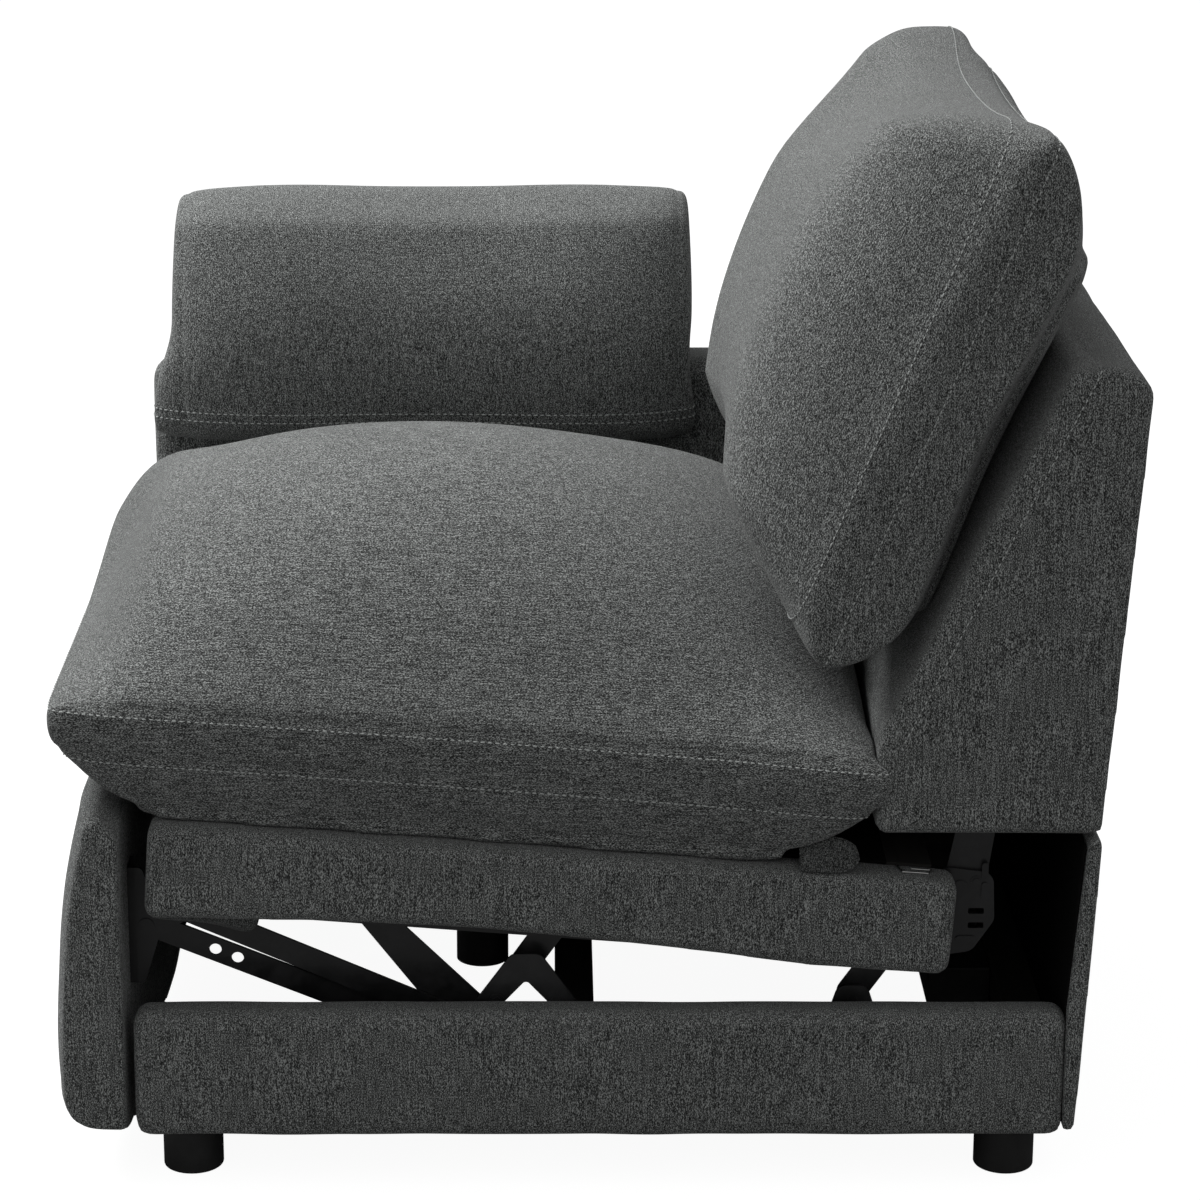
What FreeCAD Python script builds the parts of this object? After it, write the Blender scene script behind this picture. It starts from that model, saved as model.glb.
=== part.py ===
import FreeCAD, Part
import math
import os
import re
import Sketcher
from FreeCAD import Placement, Rotation, Vector

# Modular power recliner with one arm: millimetres, +Z up, the chair faces -Y and the arm is at -X.
# The origin lies on the floor under the middle of the chair.

SIZES = (
    ("seat_width", 645, "armless side plane to the inner face of the arm"),
    ("arm_width", 218, "thickness of the arm"),
    ("back_overhang", 151, "rear ends of the seat rails to the rear of the back"),
    ("foot_height", 45, "floor to the underside of the base"),
    ("foot_radius", 27, "round foot"),
    ("foot_edge", 2, "rounded lower edge of a foot"),
    ("foot_inset", 43.5, "foot centre in from a side face"),
    ("foot_end_inset", 47, "foot centre in from an end of the base rail"),
    ("base_rail_height", 117, "upholstered base rail"),
    ("base_rail_thick", 40.5, "base rail with its padding"),
    ("base_rail_round", 14, "padded edge of the base rail"),
    ("base_front_gap", 8, "footrest back to the front end of the base rail"),
    ("stretcher_height", 52, "wooden stretcher between the base rails"),
    ("stretcher_thick", 36, "wooden stretcher"),
    ("stretcher_lift", 8, "stretcher above the underside of the base"),
    ("middle_stretcher_back", 374, "middle stretcher behind the front end of the base"),
    ("rear_panel_thick", 8, "upholstered board across the rear of the base"),
    ("rear_panel_lean", 2.4, "lean of the rear panel in degrees"),
    ("rear_panel_gap", 6, "rear panel top to the underside of the back"),
    ("rear_panel_drop", 4, "rear panel lower edge above the underside of the base"),
    ("side_gap", 5.5, "running gap beside the arm"),
    ("footrest_thick", 58, "footrest at its deepest"),
    ("footrest_rise", 106, "upper edge of the footrest above the seat rail's front foot"),
    ("footrest_top_thick", 34, "footrest at its upper edge"),
    ("footrest_board_thick", 14, "plywood let into the back of the footrest"),
    ("footrest_board_inset", 26, "board in from the ends of the footrest"),
    ("seat_tilt", 4.35, "seat falls to the rear, in degrees"),
    ("rail_gap", 86, "open gap between base rail and seat rail at the front"),
    ("seat_front_setback", 20, "footrest back to the front end of the seat rail"),
    ("seat_rail_length", 711, "upholstered seat rail"),
    ("seat_rail_height", 88, "upholstered seat rail"),
    ("seat_rail_thick", 45, "seat rail with its padding"),
    ("seat_rail_round", 11, "padded edge of the seat rail"),
    ("seat_rail_setback", 7.5, "seat rail in from the side plane"),
    ("front_rail_height", 68, "front rail of the seat frame"),
    ("front_rail_thick", 42, "front rail of the seat frame"),
    ("rear_rail_height", 20, "rear rail of the seat frame"),
    ("rear_rail_thick", 40, "rear rail of the seat frame"),
    ("rear_rail_setback", 20, "rear rail ahead of the rear ends of the side rails"),
    ("deck_thick", 2, "cloth over the seat springs"),
    ("spring_wire", 4, "thickness of a seat spring"),
    ("spring_pitch", 46, "one bend of a seat spring to the next"),
    ("spring_swing", 26, "half width of a seat spring"),
    ("spring_margin", 54, "outer seat spring in from the seat rail"),
    ("cushion_rear_setback", 85, "seat cushion ahead of the rear ends of the seat rails"),
    ("cushion_overhang", 84, "seat cushion ahead of the seat rail"),
    ("cushion_side_proud", 2.5, "seat cushion past the side plane"),
    ("cushion_edge", 108, "seat cushion thickness at its top seam"),
    ("cushion_crown", 185, "seat cushion crown above the top seam"),
    ("cushion_draw", 9, "sides drawn in between the corners"),
    ("soft_gap", 0.5, "clearance under and beside soft pieces"),
    ("wing_thick", 32, "upholstered side wing of the back"),
    ("wing_round", 9, "padded edge of a wing"),
    ("back_bottom_up", 136, "underside of the back above the rear foot of the seat rail"),
    ("back_height", 414, "height of the back frame"),
    ("back_front_ahead", 69, "front of the back frame ahead of the rear ends of the seat rails"),
    ("back_knee_up", 85, "where the front of the back starts to lean, above its underside"),
    ("back_front_lean", 25.5, "lean of the front of the back in degrees"),
    ("back_rear_lean", 4.1, "lean of the rear of the back in degrees"),
    ("back_panel_thick", 14, "panels between the wings"),
    ("back_knee_round", 40, "rounded knee of a wing"),
    ("back_corner_round", 26, "rounded top of a wing"),
    ("post_lift", 6, "back post above the underside of the back"),
    ("post_back", 16, "foot of the back post behind the recline pivot"),
    ("post_height", 170, "back post"),
    ("post_width", 48, "back post, front to rear"),
    ("post_lean", 12.75, "lean of the back post in degrees"),
    ("bracket_reach", 140, "back bracket up the post"),
    ("bracket_width", 34, "back bracket on the post"),
    ("pillow_height", 494, "back cushion along its lean"),
    ("pillow_start", 34, "back cushion above the knee of the frame"),
    ("pillow_box", 100, "boxed side of the back cushion"),
    ("pillow_crown", 145, "back cushion crown ahead of its seam"),
    ("pillow_arch", 36, "lift of the lower edge of the back cushion over the seat crown"),
    ("pillow_saddle", 16, "top edge sinks between its corners"),
    ("arm_rise", 357, "top of the arm above the seat rail's front foot"),
    ("arm_front_setback", 31, "arm front behind the footrest front"),
    ("arm_rear_setback", 38, "arm rear ahead of the rear of the back"),
    ("arm_round", 22, "padded edges of the arm"),
    ("arm_pillow_clear", 149, "arm pillow ahead of the front of the back"),
    ("arm_pillow_setback", 14, "arm pillow behind the arm front"),
    ("arm_pillow_rise", 166, "arm pillow above the arm"),
    ("arm_pillow_lip", 64, "arm pillow below the top of the arm"),
    ("arm_pillow_lean", 5, "ends of the arm pillow drawn in towards the top"),
    ("arm_pillow_proud", 58, "arm pillow past the inner face of the arm"),
    ("plate_thick", 3, "stamped steel plates and links"),
    ("layer_gap", 2, "clearance between two layers of links"),
    ("swing_gap", 1, "side plate to swing link"),
    ("pin_radius", 4, "pivot pins"),
    ("pin_clearance", 0.05, "radial clearance of a pivot"),
    ("pin_head", 1.2, "thickness of a rivet head"),
    ("pin_head_radius", 7, "rivet head"),
    ("open_clearance", 1.4, "radial clearance of the open pivot of the guide link"),
    ("link_width", 22, "footrest links"),
    ("swing_width", 26, "swing links"),
    ("swing_front_back", 390.5, "front swing link on the side plate, behind the seat front"),
    ("swing_front_up", 20, "front swing link on the side plate, above the seat front"),
    ("swing_rear_ahead", 29, "rear swing link on the side plate, ahead of the rail end"),
    ("swing_rear_up", 44, "rear swing link on the side plate, above the rail end"),
    ("swing_run", 54.5, "top pivot of a swing link behind its foot"),
    ("bracket_clear", 8, "base bracket above the stretcher"),
    ("bracket_height", 36, "low web of the base bracket"),
    ("swing_rise", 78, "top pivot of a swing link above its foot"),
    ("hinge_behind", 11, "recline pivot behind the rail end"),
    ("hinge_up", 68, "recline pivot above the rail end"),
    ("rear_link_back", 188, "rear footrest link on the side plate, behind the seat front"),
    ("rear_link_down", 7, "rear footrest link on the side plate, below the seat front"),
    ("elbow_back", 300, "rear link to front link, behind the seat front"),
    ("elbow_down", 153, "rear link to front link, below the seat front"),
    ("toe_ahead", 4, "front link to footrest bracket, ahead of the seat front"),
    ("toe_down", 28, "front link to footrest bracket, below the seat front"),
    ("guide_heel_back", 316.6, "rear link to guide link, behind the seat front"),
    ("guide_heel_down", 135.2, "rear link to guide link, below the seat front"),
    ("guide_toe_back", 26, "guide link to footrest bracket, behind the seat front"),
    ("guide_toe_down", 8, "guide link to footrest bracket, below the seat front"),
    ("side_plate_drop", 6, "side plate below the seat rail"),
    ("side_plate_clear", 2, "side plate below the rear rail"),
    ("tube_radius", 11, "cross tubes"),
    ("tube_wall", 2, "wall of the tubes"),
    ("front_tube_back", 92, "front cross tube behind the seat front"),
    ("front_tube_up", 16, "front cross tube above the seat front"),
    ("middle_tube_back", 302, "middle cross tube behind the seat front"),
    ("middle_tube_down", 1, "middle cross tube below the seat front"),
    ("rear_tube_ahead", 123, "rear cross tube ahead of the rail end"),
    ("rear_tube_up", 28, "rear cross tube above the rail end"),
    ("torque_radius", 12.5, "torque tube between the rear links"),
    ("crank_reach", 60, "torque tube to the slider pin"),
    ("crank_angle", 38.5, "crank below level at rest, in degrees"),
    ("crank_thick", 5, "crank plates"),
    ("crank_spread", 27.5, "crank plate from the middle of the track"),
    ("crank_slot", 21, "width of the crank slot"),
    ("slider_pin_radius", 5, "cross pin of the slider"),
    ("slider_length", 40, "slider block"),
    ("slider_height", 22, "slider block"),
    ("slider_width", 40, "slider block"),
    ("slider_gap", 0.3, "slider over the track"),
    ("track_width", 44, "actuator track"),
    ("track_height", 24, "actuator track"),
    ("track_back", 110, "front end of the actuator track behind the seat front"),
    ("gearbox_back", 266, "front face of the gearbox behind the seat front"),
    ("gearbox_length", 52, "gearbox"),
    ("gearbox_width", 62, "gearbox"),
    ("motor_radius", 25, "motor can"),
    ("motor_length", 82, "motor can below the gearbox"),
    ("hanger_thick", 3, "actuator hangers"),
    ("control_length", 92, "control panel on the outside of the arm"),
    ("control_height", 44, "control panel"),
    ("control_thick", 1.5, "control panel"),
    ("control_front", 150, "control panel centre behind the arm front"),
    ("control_drop", 135, "control panel centre below the top of the arm"),
    ("control_depth", 22, "pocket behind the control panel"),
    ("button_length", 30, "control button"),
    ("button_height", 20, "control button"),
    ("button_gap", 0.4, "clearance round a button"),
    ("button_proud", 2, "button in front of its panel"),
    ("button_spread", 20, "button centre from the middle of the panel"),
    ("control_box_length", 120, "control box on the rear stretcher"),
    ("control_box_height", 40, "control box"),
    ("control_box_depth", 60, "control box"),
    ("inlet_radius", 6, "power inlet"),
    ("inlet_length", 9, "power inlet"),
    ("clip_wire", 2, "spring clip on the seat rail"),
)

document = FreeCAD.newDocument("modular_power_recliner")
sheet = document.addObject("Spreadsheet::Sheet", "Sizes")
for row, (alias, number, note) in enumerate(SIZES, start=1):
    sheet.set(f"A{row}", note)
    sheet.set(f"B{row}", str(number))
    sheet.setAlias(f"B{row}", alias)
document.recompute()

NAMES = tuple(alias for alias, number, note in SIZES)
NODES = []

# Places that follow from the sizes
PLACES = {
    "front_y": "0 - (footrest_thick + seat_front_setback + seat_rail_length + back_overhang) / 2",
    "footrest_back_y": "front_y + footrest_thick",
    "base_front_y": "footrest_back_y + base_front_gap",
    "seat_front_y": "footrest_back_y + seat_front_setback",
    "rail_end_y": "seat_front_y + seat_rail_length",
    "rear_y": "rail_end_y + back_overhang",
    "base_top_z": "foot_height + base_rail_height",
    "seat_front_z": "base_top_z + rail_gap",
    "rail_end_z": "seat_front_z - seat_rail_length * sin(seat_tilt * 1 deg)",
    "footrest_top_z": "seat_front_z + footrest_rise",
    "cushion_length": "cushion_overhang + seat_rail_length - cushion_rear_setback",
    "back_front_y": "rail_end_y - back_front_ahead",
    "back_bottom_z": "rail_end_z + back_bottom_up",
    "back_knee_z": "back_bottom_z + back_knee_up",
    "back_top_z": "back_bottom_z + back_height",
    "back_rear_foot_y": "rear_y - (back_height - back_corner_round) * tan(back_rear_lean * 1 deg)",
    "arm_front_y": "front_y + arm_front_setback",
    "arm_rear_y": "rear_y - arm_rear_setback",
    "arm_top_z": "seat_front_z + arm_rise",
    "arm_pillow_front_y": "arm_front_y + arm_pillow_setback",
    "arm_pillow_length": "back_front_y - arm_pillow_clear - arm_pillow_front_y",
    "control_y": "arm_front_y + control_front",
    "control_z": "arm_top_z - control_drop",
    "swing_top_front_y": "seat_front_y + swing_front_back",
    "swing_top_front_z": "seat_front_z + swing_front_up",
    "swing_top_rear_y": "rail_end_y - swing_rear_ahead",
    "swing_top_rear_z": "rail_end_z + swing_rear_up",
    "swing_foot_front_y": "swing_top_front_y - swing_run",
    "swing_foot_front_z": "swing_top_front_z - swing_rise",
    "swing_foot_rear_y": "swing_top_rear_y - swing_run",
    "swing_foot_rear_z": "swing_top_rear_z - swing_rise",
    "hinge_y": "rail_end_y + hinge_behind",
    "hinge_z": "rail_end_z + hinge_up",
    "rear_link_y": "seat_front_y + rear_link_back",
    "rear_link_z": "seat_front_z - rear_link_down",
    "elbow_y": "seat_front_y + elbow_back",
    "elbow_z": "seat_front_z - elbow_down",
    "toe_y": "seat_front_y - toe_ahead",
    "toe_z": "seat_front_z - toe_down",
    "guide_heel_y": "seat_front_y + guide_heel_back",
    "guide_heel_z": "seat_front_z - guide_heel_down",
    "guide_toe_y": "seat_front_y + guide_toe_back",
    "guide_toe_z": "seat_front_z - guide_toe_down",
    "front_tube_y": "seat_front_y + front_tube_back",
    "front_tube_z": "seat_front_z + front_tube_up",
    "middle_tube_y": "seat_front_y + middle_tube_back",
    "middle_tube_z": "seat_front_z - middle_tube_down",
    "rear_tube_y": "rail_end_y - rear_tube_ahead",
    "rear_tube_z": "rail_end_z + rear_tube_up",
    "track_front_y": "seat_front_y + track_back",
    "gearbox_front_y": "seat_front_y + gearbox_back",
    "middle_stretcher_y": "base_front_y + middle_stretcher_back",
    "near_x": "(seat_width + arm_width) / 2",
    "arm_x": "(arm_width - seat_width) / 2",
    "arm_out_x": "0 - (seat_width + arm_width) / 2",
    "mid_x": "arm_width / 2",
}


def full(expression):
    """Write an expression in the sheet's terms: places become what they follow from, sizes get its name."""
    def spelled(word):
        if word[0] in PLACES:
            return "(" + full(PLACES[word[0]]) + ")"
        return "Sizes." + word[0] if word[0] in NAMES else word[0]
    return re.sub("[a-z_]+", spelled, expression)


def value(expression):
    return float(sheet.evalExpression(full(expression)))


def bind(thing, prop, expression):
    thing.setExpression(prop, full(expression))


def keep(thing, label):
    """Name a finished sub-part as one of the nodes."""
    thing.Label = label
    NODES.append(thing)
    return thing


# Distances of the link layers from the middle of the seat frame, outer faces
RAIL_LAYER = "seat_width / 2 - seat_rail_setback - seat_rail_thick"
BASE_LAYER = "seat_width / 2 - base_rail_thick"
SWING_LAYER = f"{RAIL_LAYER} - plate_thick - swing_gap"
GUIDE_LAYER = f"{SWING_LAYER} - plate_thick - layer_gap - swing_gap / 2"
REAR_LINK_LAYER = f"{GUIDE_LAYER} - plate_thick - layer_gap"
FRONT_LINK_LAYER = f"{REAR_LINK_LAYER} - plate_thick - layer_gap"
PIN_HOLE = "pin_radius + pin_clearance"
SWING_INNER = f"{SWING_LAYER} - plate_thick - soft_gap / 2"
FLUSH = ("inner",)
RIVETED = ("inner", "outer")

SIDES = (("near", 1), ("far", -1))


def layer_x(layer, thickness, side):
    """X of the lower face of a plate that lies in a link layer."""
    if side > 0:
        return f"mid_x + ( {layer} ) - ( {thickness} )"
    return f"mid_x - ( {layer} )"


def point(y, z):
    return Vector(value(y), value(z), 0)


def tilted(along, up):
    """A place in the tilted seat frame, from the lower front end of the seat rail."""
    tilt = math.radians(value("seat_tilt"))
    y = value("seat_front_y") + along * math.cos(tilt) + up * math.sin(tilt)
    z = value("seat_front_z") - along * math.sin(tilt) + up * math.cos(tilt)
    return Vector(y, z, 0)


def rounded(corners):
    """Closed outline from (point, radius) corners: straight edges joined by tangent arcs."""
    starts, ends, middles = [], [], []
    count = len(corners)
    for index, (corner, radius) in enumerate(corners):
        before = (corners[index - 1][0] - corner).normalize()
        after = (corners[(index + 1) % count][0] - corner).normalize()
        half = before.getAngle(after) / 2
        reach = radius / math.tan(half)
        starts.append(corner + before * reach)
        ends.append(corner + after * reach)
        bisector = (before + after).normalize()
        middles.append(corner + bisector * (radius / math.sin(half) - radius))
    edges = []
    for index, (corner, radius) in enumerate(corners):
        if radius > 0:
            edges.append(Part.Arc(starts[index], middles[index], ends[index]))
        edges.append(Part.LineSegment(ends[index], starts[(index + 1) % count]))
    return edges


def obround(start, end, half_width):
    """Outline of a link with round ends."""
    along = (end - start).normalize()
    across = Vector(-along.y, along.x, 0) * half_width
    cap = along * half_width
    return [
        Part.LineSegment(start + across, end + across),
        Part.Arc(end + across, end + cap, end - across),
        Part.LineSegment(end - across, start - across),
        Part.Arc(start - across, start - cap, start + across),
    ]


def sketch_on(body, role, outlines, holes=()):
    """Sketch on one of the body's own planes, with hole radii tied to the sheet."""
    sketch = body.newObject("Sketcher::SketchObject", body.Name + "_outline")
    plane = [feature for feature in body.Origin.OriginFeatures if feature.Role == role][0]
    sketch.AttachmentSupport = [(plane, "")]
    sketch.MapMode = "FlatFace"
    for outline in outlines:
        sketch.addGeometry(outline, False)
    for centre, radius in holes:
        hole = sketch.addGeometry(Part.Circle(centre, Vector(0, 0, 1), value(radius)), False)
        constraint = sketch.addConstraint(Sketcher.Constraint("Radius", hole, value(radius)))
        bind(sketch, f"Constraints[{constraint}]", radius)
    return sketch


def pad_on(body, sketch, length):
    pad = body.newObject("PartDesign::Pad", body.Name + "_pad")
    pad.Profile = sketch
    bind(pad, "Length", length)
    document.recompute()
    return pad


def round_edges(body, base, radius, chosen=None):
    """Round the chosen edges of a feature, or all of them."""
    names = []
    for index, edge in enumerate(base.Shape.Edges, start=1):
        if chosen is None or chosen(edge):
            names.append(f"Edge{index}")
    fillet = body.newObject("PartDesign::Fillet", body.Name + "_round")
    fillet.Base = (base, names)
    bind(fillet, "Radius", radius)
    document.recompute()
    return fillet


def board(name, x, y, z, radius=None):
    """Straight board between two places on each axis, with its sizes tied to the sheet."""
    body = document.addObject("PartDesign::Body", name)
    sketch = body.newObject("Sketcher::SketchObject", name + "_outline")
    plane = [feature for feature in body.Origin.OriginFeatures if feature.Role == "XY_Plane"][0]
    sketch.AttachmentSupport = [(plane, "")]
    sketch.MapMode = "FlatFace"
    length = f"( {x[1]} ) - ( {x[0]} )"
    width = f"( {y[1]} ) - ( {y[0]} )"
    corners = (Vector(0, 0, 0), Vector(value(length), 0, 0),
               Vector(value(length), value(width), 0), Vector(0, value(width), 0))
    for index in range(4):
        sketch.addGeometry(Part.LineSegment(corners[index], corners[(index + 1) % 4]), False)
    for index in range(4):
        sketch.addConstraint(Sketcher.Constraint("Coincident", index, 2, (index + 1) % 4, 1))
    for index, kind in enumerate(("Horizontal", "Vertical", "Horizontal", "Vertical")):
        sketch.addConstraint(Sketcher.Constraint(kind, index))
    sketch.addConstraint(Sketcher.Constraint("Coincident", 0, 1, -1, 1))
    across = sketch.addConstraint(Sketcher.Constraint("DistanceX", 0, 1, 0, 2, value(length)))
    bind(sketch, f"Constraints[{across}]", length)
    deep = sketch.addConstraint(Sketcher.Constraint("DistanceY", 1, 1, 1, 2, value(width)))
    bind(sketch, f"Constraints[{deep}]", width)
    pad = pad_on(body, sketch, f"( {z[1]} ) - ( {z[0]} )")
    if radius:
        round_edges(body, pad, radius)
    for axis, place in zip("xyz", (x[0], y[0], z[0])):
        bind(body, f"Placement.Base.{axis}", place)
    return body


def seat_board(name, x, along, up, radius=None):
    """Board of the tilted seat frame: along and up start at the lower front end of the seat rail."""
    body = board(name, x, along, up, radius)
    body.Placement = Placement(body.Placement.Base, Rotation(Vector(1, 0, 0), -1))
    bind(body, "Placement.Rotation.Angle", "0 - seat_tilt")
    tilt = "seat_tilt * 1 deg"
    bind(body, "Placement.Base.y",
         f"seat_front_y + ( {along[0]} ) * cos( {tilt} ) + ( {up[0]} ) * sin( {tilt} )")
    bind(body, "Placement.Base.z",
         f"seat_front_z - ( {along[0]} ) * sin( {tilt} ) + ( {up[0]} ) * cos( {tilt} )")
    return body


def plate(name, outlines, holes, layer, side, thickness="plate_thick"):
    """Flat steel plate in a link layer, drawn on the YZ plane."""
    body = document.addObject("PartDesign::Body", name)
    sketch = sketch_on(body, "YZ_Plane", outlines, holes)
    pad_on(body, sketch, thickness)
    bind(body, "Placement.Base.x", layer_x(layer, thickness, side))
    return body


def group(label, members):
    compound = document.addObject("Part::Compound", label)
    compound.Links = members
    return keep(compound, label)


def pair(label, make):
    """The same sub-part on both sides of the seat frame."""
    return group(label, [make(f"{label}_{word}", side) for word, side in SIDES])


def pin(name, y, z, outer, inner, side, ends):
    """Rivet through the layers from one outer face to one inner face, with a head at the named ends."""
    shank = document.addObject("Part::Cylinder", name + "_shank")
    bind(shank, "Radius", "pin_radius")
    bind(shank, "Height", f"( {outer} ) - ( {inner} )")
    heads = []
    for word, start in (("inner", f"( {inner} ) - pin_head"), ("outer", outer)):
        if word not in ends:
            continue
        head = document.addObject("Part::Cylinder", f"{name}_{word}_head")
        bind(head, "Radius", "pin_head_radius")
        bind(head, "Height", "pin_head")
        heads.append((head, start, "pin_head"))
    heads.append((shank, inner, f"( {outer} ) - ( {inner} )"))
    for piece, start, length in heads:
        piece.Placement = Placement(Vector(), Rotation(Vector(0, 1, 0), 90))
        if side > 0:
            bind(piece, "Placement.Base.x", f"mid_x + ( {start} )")
        else:
            bind(piece, "Placement.Base.x", f"mid_x - ( {start} ) - ( {length} )")
        bind(piece, "Placement.Base.y", y)
        bind(piece, "Placement.Base.z", z)
    rivet = document.addObject("Part::MultiFuse", name)
    rivet.Shapes = [piece for piece, start, length in heads]
    return rivet


def pins(label, places):
    """A group of rivets, each on both sides."""
    members = []
    for word, side in SIDES:
        for index, (y, z, outer, inner, ends) in enumerate(places, start=1):
            members.append(pin(f"{label}_{word}_{index}", y, z, outer, inner, side, ends))
    return group(label, members)


def tube(name, y, z, radius, half_length):
    """Round tube across the seat frame."""
    parts = []
    for word, size in (("outside", radius), ("bore", f"{radius} - tube_wall")):
        cylinder = document.addObject("Part::Cylinder", f"{name}_{word}")
        bind(cylinder, "Radius", size)
        bind(cylinder, "Height", f"2 * ( {half_length} )")
        cylinder.Placement = Placement(Vector(), Rotation(Vector(0, 1, 0), 90))
        bind(cylinder, "Placement.Base.x", f"mid_x - ( {half_length} )")
        bind(cylinder, "Placement.Base.y", y)
        bind(cylinder, "Placement.Base.z", z)
        parts.append(cylinder)
    hollow = document.addObject("Part::Cut", name)
    hollow.Base, hollow.Tool = parts
    return hollow


def feature(label, shape):
    """Sub-part whose free form is a loft or sweep."""
    thing = document.addObject("Part::Feature", label)
    thing.Shape = shape
    return keep(thing, label)


# Base

def foot(name, x, y):
    body = document.addObject("PartDesign::Body", name)
    sketch = sketch_on(body, "XY_Plane", (), ((Vector(), "foot_radius"),))
    pad = pad_on(body, sketch, "foot_height")
    round_edges(body, pad, "foot_edge", lambda edge: edge.BoundBox.ZMax < value("foot_edge"))
    bind(body, "Placement.Base.x", x)
    bind(body, "Placement.Base.y", y)
    return body


PANEL_SLOPE = "tan(rear_panel_lean * 1 deg)"
PANEL_TOP_Z = "back_bottom_z - rear_panel_gap"
PANEL_FOOT_Z = "foot_height + rear_panel_drop"
PANEL_FOOT_Y = f"back_rear_foot_y - ( {PANEL_TOP_Z} - foot_height - rear_panel_drop ) * {PANEL_SLOPE}"
BASE_REAR_Y = f"{PANEL_FOOT_Y} - rear_panel_thick"
FOOT_PLACES = (
    ("near_x - foot_inset", "base_front_y + foot_end_inset"),
    ("near_x - foot_inset", f"{BASE_REAR_Y} - foot_end_inset"),
    ("arm_out_x + foot_inset", "base_front_y + foot_end_inset"),
    ("arm_out_x + foot_inset", f"{BASE_REAR_Y} - foot_end_inset"),
)
group("feet", [foot(f"foot_{index}", x, y) for index, (x, y) in enumerate(FOOT_PLACES, start=1)])

BASE_Y = ("base_front_y", BASE_REAR_Y)
BASE_Z = ("foot_height", "base_top_z")
keep(board("base_rail", ("near_x - base_rail_thick", "near_x"), BASE_Y, BASE_Z, "base_rail_round"),
     "base_rail_near")
keep(board("base_rail_inner", ("arm_x", "arm_x + base_rail_thick"), BASE_Y, BASE_Z), "base_rail_far")

STRETCHER_X = (f"mid_x - ( {BASE_LAYER} )", f"mid_x + ( {BASE_LAYER} )")
STRETCHER_Z = ("foot_height + stretcher_lift", "foot_height + stretcher_lift + stretcher_height")
REAR_STRETCHER_Y = f"{BASE_REAR_Y} - stretcher_thick"
keep(board("stretcher_middle", STRETCHER_X, ("middle_stretcher_y", "middle_stretcher_y + stretcher_thick"),
           STRETCHER_Z), "middle_stretcher")
keep(board("stretcher_rear", STRETCHER_X, (REAR_STRETCHER_Y, BASE_REAR_Y), STRETCHER_Z), "rear_stretcher")


def rear_panel():
    body = document.addObject("PartDesign::Body", "rear_board")
    corners = (point(BASE_REAR_Y, PANEL_FOOT_Z), point(PANEL_FOOT_Y, PANEL_FOOT_Z),
               point("back_rear_foot_y", PANEL_TOP_Z),
               point("back_rear_foot_y - rear_panel_thick", PANEL_TOP_Z), point(BASE_REAR_Y, "base_top_z"))
    sketch = sketch_on(body, "YZ_Plane", (rounded([(corner, 0) for corner in corners]),))
    pad_on(body, sketch, "seat_width - side_gap - soft_gap")
    bind(body, "Placement.Base.x", "arm_x + side_gap")
    return keep(body, "rear_panel")


rear_panel()

# Base brackets: a low web with an open A shaped tower at the front pivot and a round one at the rear
BRACKET_LOW_Z = "foot_height + stretcher_lift + stretcher_height + bracket_clear"
BRACKET_TOP_Z = f"{BRACKET_LOW_Z} + bracket_height"


def base_bracket(name, side):
    front = point("swing_foot_front_y", "swing_foot_front_z")
    rear = point("swing_foot_rear_y", "swing_foot_rear_z")
    low = value(BRACKET_LOW_Z)
    top = value(BRACKET_TOP_Z)
    cap = value("swing_width") / 2
    spread = 4 * cap
    front_end = front.x - 1.5 * spread
    rear_end = rear.x + spread
    small, medium, large = cap * 0.3, cap * 0.6, cap * 0.8
    outline = rounded([
        (Vector(front_end, low, 0), small), (Vector(rear_end, low, 0), small),
        (Vector(rear_end, top, 0), medium),
        (Vector(rear.x + 1.6 * cap, top, 0), small), (Vector(rear.x + cap, rear.y + cap, 0), large),
        (Vector(rear.x - cap, rear.y + cap, 0), large), (Vector(rear.x - 1.6 * cap, top, 0), small),
        (Vector(front.x + spread, top, 0), large), (Vector(front.x + cap, front.y + cap, 0), large),
        (Vector(front.x - cap, front.y + cap, 0), large), (Vector(front.x - spread, top, 0), large),
        (Vector(front_end, top, 0), medium),
    ])
    window = rounded([
        (Vector(front.x - 2.1 * cap, top, 0), small), (Vector(front.x + 2.1 * cap, top, 0), small),
        (Vector(front.x, front.y - 0.9 * cap, 0), small),
    ])
    return plate(name, (outline, window), ((front, PIN_HOLE), (rear, PIN_HOLE)), BASE_LAYER, side)


pair("base_brackets", base_bracket)
pins("base_pivot_pins", [
    (f"swing_foot_{end}_y", f"swing_foot_{end}_z", BASE_LAYER, SWING_INNER, FLUSH)
    for end in ("front", "rear")
])

# Control box on the front face of the rear stretcher, with the power inlet beneath it
BOX_X = ("mid_x - control_box_length / 2", "mid_x + control_box_length / 2")
BOX_LOW_Z = "foot_height + stretcher_lift + 6"
keep(board("box", BOX_X, (f"{REAR_STRETCHER_Y} - control_box_depth", REAR_STRETCHER_Y),
           (BOX_LOW_Z, f"{BOX_LOW_Z} + control_box_height"), "foot_edge"), "control_box")


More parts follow.
